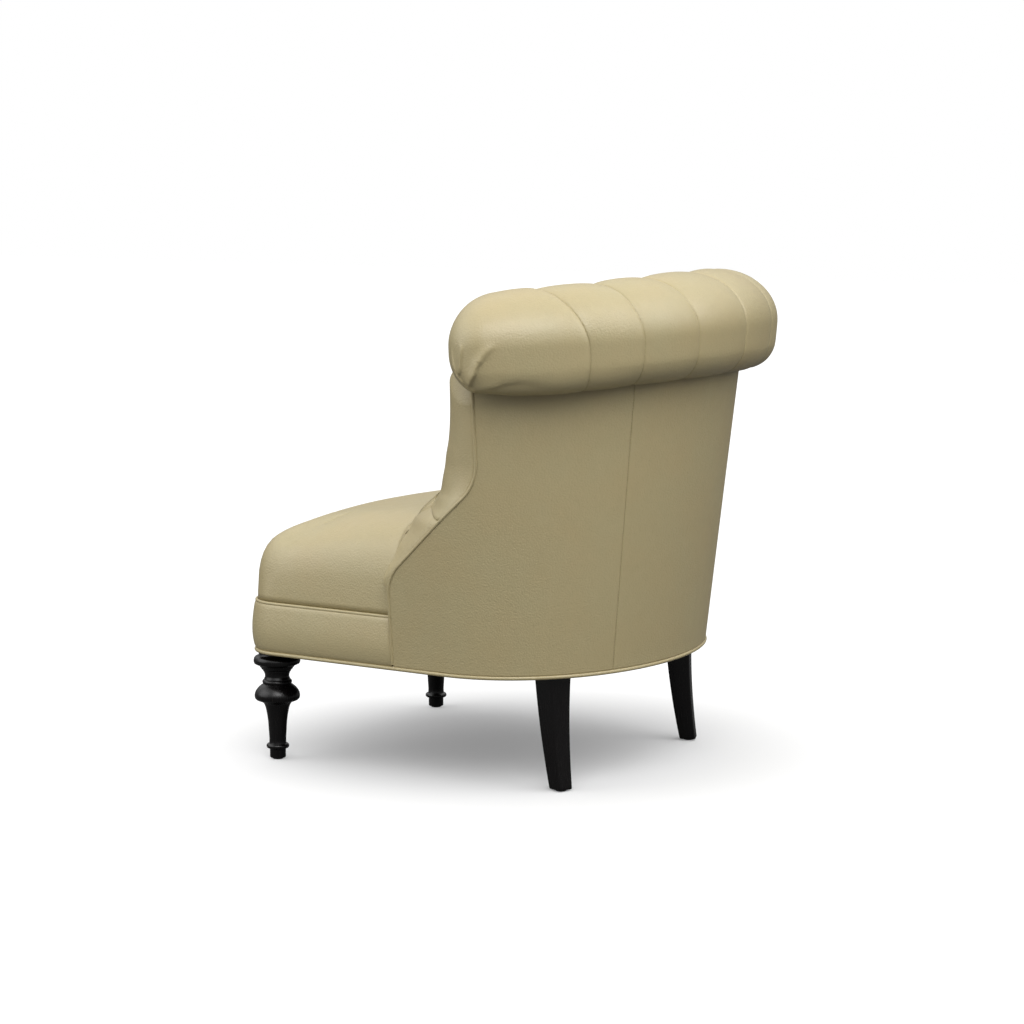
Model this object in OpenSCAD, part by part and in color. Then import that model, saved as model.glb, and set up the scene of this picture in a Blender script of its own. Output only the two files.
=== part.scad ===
// Slipper chair: tight crowned seat, tufted barrel back with a rolled top,
// turned front legs and square sabre rear legs.
// X runs across the chair, the sitter faces -Y and Z is height above the floor.
// Angles along the barrel run from 0 at the right side over 90 at the centre back to 180.

/* [Body outline] */
// Half width of the body at the bottom of its walls
base_half_w = 325; // [305:1:345]
// Depth of the curved rear half at the bottom of the walls
base_rear_d = 240; // [224:1:256]
// Distance from the start of the rear curve to the front edge
front_d = 416; // [400:1:430]
// Forward bow of the front edge at its middle
front_bow = 6; // [0:1:12]
// Radius of the two front corners
corner_r = 70; // [56:1:84]
// Height of the bottom of the walls
skirt_z = 192; // [180:1:205]
// Outward lean of the side walls in degrees
side_lean = 5.3; // [4:0.1:6]
// Backward lean of the rear wall in degrees
rear_lean = 7.2; // [6:0.1:8]
// Forward drift of the start of the curve with height in degrees
curve_lean = 2.5; // [1:0.1:3.5]
// Inward taper of the straight sides towards the front in degrees
side_taper = 3.15; // [2:0.05:4]
// Fullness of the rear curve, 2 being an ellipse
plan_power = 2.05; // [2:0.01:2.2]

/* [Arms and wings] */
// Place of the vertical side seam ahead of the start of the curve
side_seam_d = 109; // [100:1:118]
// Place of the wing welt behind the start of the curve
wing_d = 62; // [55:1:70]
// Height at which the side seam starts to swoop back
swoop_z = 305; // [295:1:315]
// Steepest backward slope of the swoop in degrees
swoop_slope = 47; // [44:1:50]
// Radius of the lower bend of the swoop
swoop_low_r = 70; // [60:1:80]
// Radius of the upper bend of the swoop
swoop_high_r = 80; // [70:1:90]
// Thickness of the padded wings and of the back
back_t = 88; // [84:1:94]

/* [Seat] */
// Height of the seat welt
seat_welt_z = 270; // [266:1:276]
// Height of the seat surface over the welt where the front edge rounds over
seat_rise = 132; // [120:1:140]
// Further crown towards the middle of the seat
seat_crown = 28; // [20:1:40]
// Width of the rounded seat edge
seat_edge = 100; // [85:1:110]
// Fullness of that rounded edge, 2 being a quarter circle
seat_full = 3; // [2.2:0.1:3.4]
// Thickness of the seat cover with its wadding
cover_t = 4; // [3:0.5:5]
// Bulge of the front border
border_bulge = 5; // [2:1:8]

/* [Rolled top] */
// Half width of the path that the middle of the roll follows
roll_half_w = 354; // [345:1:362]
// Depth of that path behind its centre
roll_d = 290; // [280:1:298]
// Forward offset of the centre of that path
roll_fwd = 13; // [5:1:20]
// Height of the middle of the roll at the centre back
roll_z = 733.6; // [725:0.1:740]
// Drop of the roll from the centre back to its ends
roll_drop = 20.6; // [10:0.1:30]
// Radius of the roll at the centre back
roll_r = 83.8; // [78:0.1:88]
// Loss of that radius at the ends
roll_slim = 3.5; // [0:0.1:6]
// Angle at which each end of the roll stops
roll_end = 7.5; // [6:0.1:10]
// Length of the domed end along the path in degrees
roll_dome = 12; // [10:0.1:14]
// Distance of the crest of the roll ahead of its middle
roll_lean = 17; // [0:1:20]
// Fullness of the lower rear of the roll, 2 being round
roll_full = 3; // [2:0.1:3.2]
// Angle between the channel seams at the centre back
channel_angle = 19.2; // [18.6:0.1:19.6]
// Loss of that angle from one channel to the next towards the ends, halved
channel_narrowing = 1.2; // [1:0.05:1.3]
// Turn of the outermost channel seams towards the ends, over the crest, in degrees
seam_turn = 10; // [0:1:11]
// Depth of a channel seam
channel_depth = 7; // [3:0.5:9]
// Thickness of the roll cover with its wadding
roll_cover_t = 4; // [3:0.5:5]

/* [Tufting] */
// Height of the top row of buttons
tuft_top_z = 640; // [630:1:650]
// Height between two rows of buttons
tuft_row_h = 72; // [66:1:76]
// Depth of the tufts
tuft_depth = 16; // [8:1:18]
// Diameter of a covered button
button_d = 20; // [16:1:22]

/* [Covers and welts] */
// Thickness of the outside leather with its backing
panel_t = 3; // [2:0.5:4]
// Radius of the welts
welt_r = 4.5; // [3.5:0.1:5]
// Angle of the two seams of the outside back from the sides
panel_seam = 60; // [55:1:65]
// Thickness of the dust cover
dust_t = 1.2; // [0.8:0.1:1.6]

/* [Frame] */
// Thickness of the seat rails
rail_t = 24; // [22:1:25]
// Height of the seat rails
rail_h = 74; // [68:1:74]
// Thickness of the posts and of the crest rail
post_t = 22; // [18:1:24]
// Width of a back post along the curve in degrees
post_w = 6; // [5:0.5:7]
// Height of the bottom of the crest rail
crest_z = 600; // [590:1:606]
// Thickness of the arm boards
arm_board_t = 18; // [14:1:20]
// Size of a corner block along the rails
block_w = 74; // [66:1:80]
// Height of the corner blocks
block_h = 46; // [40:1:52]
// Gap between the frame and the outside leather
pad_gap = 5; // [4:0.5:7]

/* [Seat springs] */
// Number of sinuous springs
spring_count = 4; // [3:1:5]
// Distance between the springs
spring_gap = 79; // [72:1:82]
// Half width of a spring's bends
spring_wave = 19; // [16:1:20]
// Bends in a spring, counted as full waves
spring_waves = 7; // [6:1:8]
// Radius of the spring wire
wire_r = 1.9; // [1.6:0.1:2.2]
// Rise of a spring over its ends
spring_crown = 9; // [4:1:12]

/* [Legs] */
// Distance of the front legs in from the side walls
front_leg_in = 72.3; // [67:0.1:80]
// Distance of the front legs behind the front edge
front_leg_behind = 39.5; // [36:0.1:46]
// Distance of the rear feet in from the side walls
rear_foot_in = 99; // [95:1:105]
// Distance of the rear feet ahead of the bottom of the back
rear_foot_ahead = 92; // [88:1:98]
// Backward sweep of a rear leg from its top to its foot
sabre_sweep = 18; // [12:1:24]
// Outward sweep of a rear leg
sabre_splay = 5; // [2:1:8]
// Side of a rear leg at the top
sabre_top = 40; // [36:1:42]
// Side of a rear leg at the foot
sabre_foot = 24; // [22:1:28]
// Turn of a rear leg about its own axis in degrees
sabre_turn = 20; // [15:1:25]
// Radius of the hanger bolts
bolt_r = 4; // [3:0.5:5]
// Length of a hanger bolt in the leg
bolt_in_leg = 42; // [36:1:46]
// Height of the glides
glide_h = 2.5; // [2:0.5:4]
// Radius of the glides
glide_r = 9; // [7:0.5:10]

/* [Fits] */
// Clearance of a bolt or nail in its hole
hole_fit = 0.2; // [0.1:0.05:0.4]
// Clearance between two pieces that lie against each other
lay_fit = 0.5; // [0.3:0.1:0.8]

/* [Hidden] */

LEATHER = "#b0a47c";
LEATHER_IN = "#a99c74";
BLACK_WOOD = "#17150f";
BEECH = "#c9a877";
FOAM = "#e8dfb4";
STEEL = "#8d9094";
CLOTH = "#3a3836";
JUTE = "#b79a63";
NYLON = "#2a2a2a";

rail_z = skirt_z - 2;
rail_top = rail_z + rail_h;
frame_lean = tan(side_lean);

// Small helpers
function clamp(v, low = 0, high = 1) = max(low, min(high, v));
function mix(a, b, t) = a + (b - a) * t;
function ease(t) = let (u = clamp(t)) u * u * (3 - 2 * u);
function flip_x(points) = [for (i = [len(points) - 1:-1:0]) [-points[i][0], points[i][1], points[i][2]]];
function mid(points) = [for (k = [0:2]) sum([for (p = points) p[k]]) / len(points)];
function sum(v, i = 0) = i >= len(v) ? 0 : v[i] + sum(v, i + 1);

// Outside wall of the barrel at angle s and height z, i inside its surface
function wall_a(z) = base_half_w + (z - skirt_z) * tan(side_lean);
function wall_c(z) = -(z - skirt_z) * tan(curve_lean);
function wall_b(z) = base_rear_d + (z - skirt_z) * (tan(rear_lean) + tan(curve_lean));
function wall(s, z, i = 0) =
    let (m = s > 90 ? 180 - s : s, side = s > 90 ? -1 : 1)
    let (a = wall_a(z) - i, b = wall_b(z) - i, run = m * b * PI / 180)
    m < 0 ? [side * (a + tan(side_taper) * run), wall_c(z) + run, z]
          : [side * a * pow(cos(m), 2 / plan_power), wall_c(z) + b * pow(sin(m), 2 / plan_power), z];
// Angle at which the wall stands over a given y
function wall_s(y, z, i = 0) =
    let (t = (y - wall_c(z)) / (wall_b(z) - i))
    t < 0 ? t * 180 / PI : asin(pow(min(t, 1), plan_power / 2));

// Frame surface: upright beside the rails, then leaning out with the wall
function frame_i(z) = pad_gap + frame_lean * (z < rail_top ? max(0, z - rail_z)
                    : rail_h * clamp((crest_z - z) / (crest_z - rail_top)));
function frame(s, z, i = 0) = wall(s, z, frame_i(z) + i);

// Front half of the body outline, from the right side seam to the left one
function corner_x(i) = base_half_w - tan(side_taper) * (front_d - corner_r + corner_r * sin(side_taper))
                     - corner_r * cos(side_taper);
function right_front(i, from_y) =
    let (r = max(corner_r - i, 8), cx = corner_x(0) + corner_r - i - r,
         cy = corner_r - front_d - corner_r + i + r)
    concat(
        [for (k = [0:3]) let (y = mix(from_y, cy - r * sin(side_taper), k / 3.5))
            [base_half_w - i + tan(side_taper) * y, y]],
        [for (k = [0:5]) let (a = mix(-side_taper, -90, k / 5)) [cx + r * cos(a), cy + r * sin(a)]],
        [for (k = [1:4]) let (x = cx * (1 - k / 4)) [x, i - front_d - front_bow * (1 - pow(x / cx, 2))]]);
function front_path(i, from_y = -side_seam_d) =
    let (half = right_front(i, from_y), n = len(half))
    concat(half, [for (k = [n - 2:-1:0]) [-half[k][0], half[k][1]]]);
function at_z(points, z) = [for (p = points) [p[0], p[1], z]];
// Whole outline at the bottom of the walls
function rear_path(i, from_y = -side_seam_d, n = 36) =
    let (s = wall_s(from_y, skirt_z, i))
    [for (k = [0:n]) let (p = wall(mix(180 - s, s, k / n), skirt_z, i)) [p[0], p[1]]];
function outline(i) = concat(front_path(i), [for (k = [1:35]) rear_path(i)[k]]);

// Side seam and swoop of the arm: y of the welt at height z
swoop_run = wing_d + side_seam_d - (swoop_low_r + swoop_high_r) * (1 - cos(swoop_slope));
swoop_z1 = swoop_z + swoop_low_r * sin(swoop_slope);
swoop_z2 = swoop_z1 + swoop_run / tan(swoop_slope);
swoop_z3 = swoop_z2 + swoop_high_r * sin(swoop_slope);
function swoop(z) =
    z <= swoop_z ? -side_seam_d
    : z <= swoop_z1 ? swoop_low_r - sqrt(pow(swoop_low_r, 2) - pow(z - swoop_z, 2)) - side_seam_d
    : z <= swoop_z2 ? swoop_low_r * (1 - cos(swoop_slope)) - side_seam_d + (z - swoop_z1) * tan(swoop_slope)
    : z <= swoop_z3 ? wing_d - swoop_high_r + sqrt(pow(swoop_high_r, 2) - pow(swoop_z3 - z, 2))
    : wing_d;

// Roll: place, height and radius of its section at angle s
function roll_mid_z(s) = roll_z - roll_drop * pow(cos(s), 2);
function roll_rad(s) = roll_r - roll_slim * pow(cos(s), 2);
function roll_mid(s) = [roll_half_w * cos(s), roll_d * sin(s) - roll_fwd, roll_mid_z(s)];
function roll_out(s) = let (n = [roll_d * cos(s), roll_half_w * sin(s), 0]) n / norm(n);
// Offsets outward and upward of the section of a roll of radius 1 at angle a: its crest leans forward
// and its lower rear is fuller than a circle, both eased in
full_rate = 2.5;
lean_rate = 2;
lean_start = 0.7;
function section(a) =
    let (c = cos(a), v = sin(a), k = c > 0 && v < 0 ? mix(1, 2 / roll_full, ease(-full_rate * v)) : 1,
         lean = roll_lean / roll_r * (1 - abs(c)) * ease(lean_rate * v + lean_start))
    [sign(c) * pow(abs(c), k) - lean, sign(v) * pow(abs(v), k)];
// Offset of the wall from the middle of the roll, where the wall runs into its underside
function wall_off(s) = (wall(s, roll_mid_z(s) - 0.9 * roll_rad(s)) - roll_mid(s)) * roll_out(s);
function under_z(s, r, off) = let (h = clamp(off / r))
    roll_mid_z(s) - r * pow(1 - pow(h, roll_full), 1 / roll_full);
function wall_top(s, i = 0) = let (m = clamp(s, wing_s, 180 - wing_s))
    under_z(m, roll_rad(m) * dome_scale(m), wall_off(m) - i);
wing_s = 14;
// Angles of the roll section between which the roll cover lies; near its tip the dome is closed below
dome_seam = -114;
dome_shut_from = 9;
dome_shut_to = 16;
cover_end = 204;
function dome_shut(s) = ease((dome_shut_to - min(s, 180 - s)) / (dome_shut_to - dome_shut_from));
function roll_on_wall(s) = -acos(pow(clamp(wall_off(s) / roll_rad(s)), roll_full / 2));
function roll_from(s) = mix(roll_on_wall(s), dome_seam, dome_shut(s));
function roll_to(s) = mix(cover_end, dome_seam + 358, dome_shut(s));

// The body stands with the middle of its bounding box over the origin
crown_s = seam_s(0.5);
rear_reach = roll_mid(crown_s)[1] + roll_rad(crown_s) * roll_out(crown_s)[1];
front_reach = front_d + front_bow + border_bulge;
module seated() {
    translate([0, (front_reach - rear_reach) / 2, 0]) children();
}

// Solids from grids and rings of points
function grid_faces(a, rows, cols) = [for (i = [0:rows - 2], j = [0:cols - 2])
    let (p = a + i * cols + j, q = p + cols)
    each (i + j) % 2 == 0 ? [[p, q + 1, p + 1], [p, q, q + 1]] : [[p, q, p + 1], [p + 1, q, q + 1]]];
function turned(faces) = [for (f = faces) [f[0], f[2], f[1]]];
function faces_out(front, back) =
    let (i = floor(len(front) / 2), j = floor(len(front[0]) / 2), p = front[i][j])
    cross(front[i][j - 1] - p, front[i - 1][j] - p) * (p - back[i][j]) > 0;
// Closed wall between a grid of points and the same grid on its other side
module sheet(front, back) {
    rows = len(front);
    cols = len(front[0]);
    n = rows * cols;
    rim = concat([for (j = [0:cols - 2]) j], [for (i = [0:rows - 2]) i * cols + cols - 1],
                 [for (j = [cols - 1:-1:1]) (rows - 1) * cols + j], [for (i = [rows - 1:-1:1]) i * cols]);
    sides = [for (k = [0:len(rim) - 1]) let (p = rim[k], q = rim[(k + 1) % len(rim)])
             each [[p, q, q + n], [p, q + n, p + n]]];
    faces = concat(grid_faces(0, rows, cols), turned(grid_faces(n, rows, cols)), sides);
    polyhedron(concat([for (r = front) each r], [for (r = back) each r]),
               faces_out(front, back) ? faces : turned(faces));
}

function ring_faces(a, b, n) = [for (j = [0:n - 1]) let (k = (j + 1) % n)
    each [[a + j, b + k, a + k], [a + j, b + j, b + k]]];
function leads_on(ring, next) =
    let (c = mid(ring), n = len(ring))
    sum([for (j = [0:n - 1]) cross(ring[j] - c, ring[(j + 1) % n] - c) * (mid(next) - c)]) > 0;
// Closed body through rings with as many points each
module loft(rings) {
    m = len(rings);
    n = len(rings[0]);
    points = concat([for (r = rings) each r], [mid(rings[0]), mid(rings[m - 1])]);
    faces = concat([for (i = [0:m - 2]) each ring_faces(i * n, i * n + n, n)],
                   [for (j = [0:n - 1]) [m * n, j, (j + 1) % n]],
                   [for (j = [0:n - 1]) [m * n + 1, (m - 1) * n + (j + 1) % n, (m - 1) * n + j]]);
    polyhedron(points, leads_on(rings[0], rings[1]) ? faces : turned(faces));
}
// Closed ring-shaped body through rings, the last joined to the first
module hoop(rings) {
    m = len(rings);
    n = len(rings[0]);
    faces = [for (i = [0:m - 1]) each ring_faces(i * n, ((i + 1) % m) * n, n)];
    polyhedron([for (r = rings) each r], leads_on(rings[0], rings[1]) ? faces : turned(faces));
}
// Rings of a round cord along a path; up lies square to the path
function cord_rings(path, r, sides, up, closed = false) =
    let (m = len(path))
    [for (i = [0:m - 1])
        let (before = closed ? path[(i + m - 1) % m] : path[max(i - 1, 0)],
             after = closed ? path[(i + 1) % m] : path[min(i + 1, m - 1)],
             t = (after - before) / norm(after - before),
             u = cross(t, up) / norm(cross(t, up)), v = cross(u, t))
        [for (k = [0:sides - 1]) let (a = 360 * k / sides) path[i] + r * (cos(a) * u + sin(a) * v)]];
// Rounded shell over rings that close on a top point, open at its rim
module dome(outer, inner, outer_top, inner_top) {
    m = len(outer);
    w = len(inner);
    n = len(outer[0]);
    top = (m + w) * n;
    faces = concat([for (i = [0:m - 2]) each ring_faces(i * n, i * n + n, n)],
                   [for (j = [0:n - 1]) [top, (m - 1) * n + (j + 1) % n, (m - 1) * n + j]],
                   turned([for (i = [m:m + w - 2]) each ring_faces(i * n, i * n + n, n)]),
                   turned([for (j = [0:n - 1]) [top + 1, (m + w - 1) * n + (j + 1) % n, (m + w - 1) * n + j]]),
                   turned(ring_faces(0, m * n, n)));
    polyhedron(concat([for (r = outer) each r], [for (r = inner) each r], [outer_top, inner_top]),
               leads_on(outer[0], outer[m - 1]) ? faces : turned(faces));
}

// Turned front legs
front_leg_x = base_half_w - front_leg_in;
front_leg_d = front_d - front_leg_behind;
function arc(r0, z0, rx, rz, from, to, n) =
    [for (k = [0:n]) let (a = mix(from, to, k / n)) [r0 + rx * cos(a), z0 + rz * sin(a)]];
leg_h = rail_z;
nail_r = 1.5;
nail_h = 12;
bulb_r = 37;
ankle_r = 18.5;
disc_r = 37.5;
leg_neck_r = 30;
foot_r = 12.5;
module front_leg() {
    // From the foot up: foot, ankle ring, shank, bulb, neck ring, neck, cove and top disc, then the bores
    profile = concat(
        [[nail_r + hole_fit, glide_h], [foot_r - 1, glide_h], [foot_r, glide_h + 1.5], [foot_r, 18]],
        arc(ankle_r - 5.5, 23, 5.5, 4, -70, 70, 8),
        [[13.2, 28], [13.8, 46], [15.5, 66], [18, 82], [19.5, 91], [23, 96]],
        arc(bulb_r - 16, 108.5, 16, 13, -60, 62, 12),
        [[20, 123], [18.5, 124.5]],
        arc(18.5, 128, 5.2, 3.4, -75, 75, 6),
        [[19.5, 133], [19.6, 141], [20.6, 149]],
        arc(30.5, 148, -9.5, 10.5, 5, 80, 6),
        arc(disc_r - 7, 166, 7, 7.5, -75, 75, 8),
        [[leg_neck_r + 1, 176], [leg_neck_r, 179], [leg_neck_r, leg_h], [bolt_r + hole_fit, leg_h],
         [bolt_r + hole_fit, leg_h - bolt_in_leg], [0, leg_h - bolt_in_leg - 3],
         [0, glide_h + nail_h + 1], [nail_r + hole_fit, glide_h + nail_h]]);
    color(BLACK_WOOD) rotate_extrude($fn = 64) polygon(profile);
}
module front_leg_left() { seated() translate([-front_leg_x, -front_leg_d, 0]) front_leg(); }
module front_leg_right() { seated() translate([front_leg_x, -front_leg_d, 0]) front_leg(); }

// Square sabre rear legs
rear_foot_x = base_half_w - rear_foot_in;
rear_foot_d = base_rear_d - rear_foot_ahead;
rear_top_x = rear_foot_x - sabre_splay;
rear_top_d = rear_foot_d - sabre_sweep;
sabre_curve = 1.8;
sabre_taper = 0.9;
function sabre_ring(z) =
    let (t = 1 - z / leg_h, half = mix(sabre_top, sabre_foot, pow(t, sabre_taper)) / 2,
         c = [sabre_splay * pow(t, sabre_curve), sabre_sweep * pow(t, sabre_curve), z])
    [for (k = [0:3]) let (a = 90 * k + 45 - sabre_turn) c + half * sqrt(2) * [cos(a), sin(a), 0]];
module rear_leg() {
    color(BLACK_WOOD) translate([rear_top_x, rear_top_d, 0]) difference() {
        loft([for (k = [0:10]) sabre_ring(mix(glide_h, leg_h, k / 10))]);
        translate([0, 0, leg_h - bolt_in_leg])
            cylinder(h = bolt_in_leg + 1, r = bolt_r + hole_fit, $fn = 32);
        translate([sabre_splay, sabre_sweep, glide_h - 1])
            cylinder(h = nail_h + 1, r = nail_r + hole_fit, $fn = 24);
    }
}
module rear_leg_left() { seated() mirror([1, 0, 0]) rear_leg(); }
module rear_leg_right() { seated() rear_leg(); }

// Glides, bolts and blocks come once at each leg
foot_places = [for (x = [-1, 1]) each [[x * front_leg_x, -front_leg_d], [x * rear_foot_x, rear_foot_d]]];
top_places = [for (x = [-1, 1]) each [[x * front_leg_x, -front_leg_d], [x * rear_top_x, rear_top_d]]];
module nail_glides() {
    color(NYLON) seated() for (p = foot_places) translate([p[0], p[1], 0])
        rotate_extrude($fn = 48) polygon([[0, 0], [glide_r - 1, 0], [glide_r, 1], [glide_r, glide_h],
            [nail_r, glide_h], [nail_r, glide_h + nail_h - 2], [0, glide_h + nail_h]]);
}
washer_t = 1.6;
washer_r = 9.5;
nut_h = 6.5;
nut_r = 7.5;
bolt_end = 4;
module hanger_bolts() {
    color(STEEL) seated() for (p = top_places) translate([p[0], p[1], 0]) {
        translate([0, 0, leg_h - bolt_in_leg])
            cylinder(h = bolt_in_leg + block_h + washer_t + nut_h + bolt_end, r = bolt_r, $fn = 32);
        translate([0, 0, leg_h + block_h]) cylinder(h = washer_t, r = washer_r, $fn = 32);
        translate([0, 0, leg_h + block_h + washer_t]) cylinder(h = nut_h, r = nut_r, $fn = 6);
    }
}
module corner_blocks() {
    inner = pad_gap + rail_t + lay_fit / 2;
    color(BEECH) seated() difference() {
        translate([0, 0, rail_z]) linear_extrude(block_h) intersection() {
            polygon(outline(inner));
            for (p = top_places) translate(p) rotate(sign(p[0] * p[1]) * 45)
                square([block_w * 1.2, block_w], center = true);
        }
        for (p = top_places) translate([p[0], p[1], rail_z - 1])
            cylinder(h = block_h + 2, r = bolt_r + hole_fit, $fn = 32);
    }
}

// Seat rails: one bent and mitred ring, cut into four
corner_y = -(front_d - corner_r);
module rail_ring() {
    difference() {
        polygon(outline(pad_gap));
        polygon(outline(pad_gap + rail_t));
    }
}
module rail_part(x0, x1, y0, y1) {
    color(BEECH) seated() translate([0, 0, rail_z]) difference() {
        linear_extrude(rail_h) intersection() {
            rail_ring();
            translate([x0, y0]) square([x1 - x0, y1 - y0]);
        }
        for (p = top_places) translate([p[0], p[1], block_h])
            cylinder(h = rail_h, r = washer_r + lay_fit, $fn = 32);
    }
}
reach = base_half_w + front_d;
module front_rail() { rail_part(-reach, reach, -reach, corner_y); }
module side_rail_left() { rail_part(-reach, 0, corner_y, 0); }
module side_rail_right() { rail_part(0, reach, corner_y, 0); }
module back_rail() { rail_part(-reach, reach, 0, reach); }

// Back frame: slabs that follow the lean and the curve of the wall
function slab_grid(s0, s1, z0, z1, i, ns, nz) =
    [for (k = [0:nz]) [for (j = [0:ns]) frame(mix(s0, s1, j / ns), mix(z0, z1, k / nz), i)]];
module slab(s0, s1, z0, z1, i0, i1, ns = 4, nz = 4) {
    seated() sheet(slab_grid(s0, s1, z0, z1, i0, ns, nz), slab_grid(s0, s1, z0, z1, i1, ns, nz));
}
post_s = wall_s(wing_d + 16, crest_z);
module wing_post() { color(BEECH) slab(post_s, post_s + post_w, rail_top, crest_z, 0, post_t); }
module wing_post_right() { wing_post(); }
module wing_post_left() { mirror([1, 0, 0]) wing_post(); }
module back_posts() {
    color(BEECH) for (s = [panel_seam, 90, 180 - panel_seam])
        slab(s - post_w / 2, s + post_w / 2, rail_top, crest_z, 0, post_t);
}
function core_rad(s) = roll_rad(s) - channel_depth - roll_cover_t - 3 * lay_fit;
module crest_rail() {
    s0 = roll_end + roll_dome;
    n = 20;
    function edge(i, top) = [for (j = [0:n]) let (s = mix(s0, 180 - s0, j / n))
        frame(s, top ? under_z(s, core_rad(s), wall_off(s) - pad_gap - i) - 4 * lay_fit : crest_z, i)];
    color(BEECH) seated() sheet([edge(0, false), edge(0, true)], [edge(post_t, false), edge(post_t, true)]);
}
liner_z = 300;
liner_h = 40;
liner_t = 9;
module liner_rail() {
    color(BEECH)
        slab(post_s, 180 - post_s, liner_z, liner_z + liner_h, post_t + lay_fit / 2, post_t + liner_t,
             24, 2);
}
// Plywood board that carries the swoop of the arm
module arm_board() {
    n = 8;
    top = swoop_z2;
    function edge(z, i) = let (s0 = wall_s(swoop(z) + 8, z), s1 = post_s - 0.2)
        [for (j = [0:4]) frame(mix(s0, s1, j / 4), z, i)];
    color(BEECH) seated() sheet([for (k = [0:n]) edge(mix(rail_top, top, k / n), 0)],
                                [for (k = [0:n]) edge(mix(rail_top, top, k / n), arm_board_t)]);
}
module arm_board_right() { arm_board(); }
module arm_board_left() { mirror([1, 0, 0]) arm_board(); }

// Seat: springs between the front and back rail, cloth, foam and cover
clip_t = 1.2;
spring_z = rail_top + clip_t + wire_r + hole_fit;
function spring_end(x) = let (a = base_half_w, b = base_rear_d, i = pad_gap + rail_t / 2)
    (b - i) * sqrt(1 - pow(x / (a - i), 2));
spring_start = pad_gap + rail_t / 2 - front_d;
function spring_path(x) =
    let (n = spring_waves * 6, end = spring_end(x))
    [for (k = [0:n]) let (t = k / n, w = k % 6, side = w < 3 ? 1 : -1, h = w % 3)
        [x + side * spring_wave * (h == 0 ? -1 : h == 1 ? 0.72 : 1),
         mix(spring_start, end, (floor(k / 3) + [0, 0.16, 0.84][h]) / (n / 3)),
         spring_z + spring_crown * sin(180 * t)]];
spring_places = [for (k = [0:spring_count - 1]) (k - (spring_count - 1) / 2) * spring_gap];
module seat_springs() {
    color(STEEL) seated() for (x = spring_places) loft(cord_rings(spring_path(x), wire_r, 5, [0, 0, 1]));
}
clip_w = 14;
module spring_clips() {
    gap = 2 * (wire_r + hole_fit);
    color(STEEL) seated() for (x = spring_places, y = [spring_start, spring_end(x)])
        translate([x - clip_w / 2, y, rail_top]) rotate([90, 0, 90]) linear_extrude(clip_w)
            mirror([y > 0 ? 1 : 0, 0]) difference() {
                translate([-gap / 2 - clip_t, 0]) square([gap + clip_t + 12, gap + 2 * clip_t]);
                translate([-gap / 2, clip_t]) square([gap + 20, gap]);
                translate([gap / 2, clip_t]) square([20, gap + clip_t + 1]);
            }
}
deck_z = spring_z + spring_crown + wire_r + lay_fit;
deck_t = 1.2;
module deck_cloth() {
    color(JUTE) seated() translate([0, 0, deck_z]) linear_extrude(deck_t)
        polygon(outline(pad_gap + rail_t + post_t / 2));
}

// Plan of the seat: the front half, a step round each arm, then the inside of the back
arm_in = back_t + 8 * lay_fit;
seat_in = 5;
seat_notch = side_seam_d + welt_r + 2 * lay_fit;
arm_start_d = 92;
arm_start_s = -12;
function seat_plan(i) =
    let (front = right_front(i, -seat_notch), z = seat_welt_z + seat_rise,
         x_in = wall_a(z) - arm_in - (i - seat_in),
         rear = [for (k = [0:7])
             let (p = wall(mix(arm_start_s, 90, k / 7), z, arm_in + i - seat_in)) [p[0], p[1]]],
         step = [for (t = [0.33, 0.66, 1]) [mix(front[0][0], x_in, t), mix(-seat_notch, -arm_start_d, t)]],
         half = concat([for (k = [6:-1:0]) rear[k]], [for (k = [2:-1:0]) step[k]], front))
    concat(half, [for (k = [len(half) - 2:-1:0]) [-half[k][0], half[k][1]]], [rear[7]]);
// The edge rounds over at the front and sides but not along the arms. The crown falls to the front and
// to the sides
arm_blend = 50;
crown_from_d = 60;
crown_run = 270;
side_fall = 10;
side_fall_w = 250;
rim_over_welt = 3;
function seat_height(x, y) =
    let (side_x = base_half_w - seat_in + tan(side_taper) * min(y, 0) - abs(x)
                  + seat_edge * ease((y + seat_notch) / arm_blend),
         front_y = y + front_d - seat_in + front_bow * (1 - pow(x / base_half_w, 2)),
         u = clamp(1 - side_x / seat_edge), v = clamp(1 - front_y / seat_edge), m = seat_full,
         q = pow(max(0, 1 - pow(u, m) - pow(v, m)), 1 / m),
         crown = seat_crown * (1 - pow(clamp((-crown_from_d - y) / crown_run), 2))
                 - side_fall * pow(x / side_fall_w, 2))
    seat_welt_z + rim_over_welt + (seat_rise + crown) * q;
seat_focus = [0, -130];
function seat_rings(i, down, steps, least) = [for (f = steps)
    [for (p = seat_plan(i))
        let (c = mix(p, seat_focus, f)) [c[0], c[1], max(least, seat_height(c[0], c[1]) - down)]]];
outer_steps = [0, 0.025, 0.06, 0.11, 0.18, 0.28, 0.4, 0.56, 0.76];
inner_steps = [0, 0.05, 0.14, 0.3, 0.6];
deck_top = deck_z + deck_t;
module seat_cover() {
    rim = seat_welt_z + welt_r - lay_fit;
    function low(points) = [for (p = points) [p[0], p[1], p[1] < -seat_notch - 1 ? rim : deck_top + lay_fit]];
    outer = concat([low(seat_plan(seat_in))], seat_rings(seat_in, 0, outer_steps, deck_top + 5));
    inner = concat([low(seat_plan(seat_in + cover_t))],
                   seat_rings(seat_in + cover_t, cover_t, inner_steps, deck_top + 4));
    top = seat_height(seat_focus[0], seat_focus[1]);
    color(LEATHER) seated() dome(outer, inner, [each seat_focus, top], [each seat_focus, top - cover_t]);
}
foam_slack = 0.007;
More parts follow.
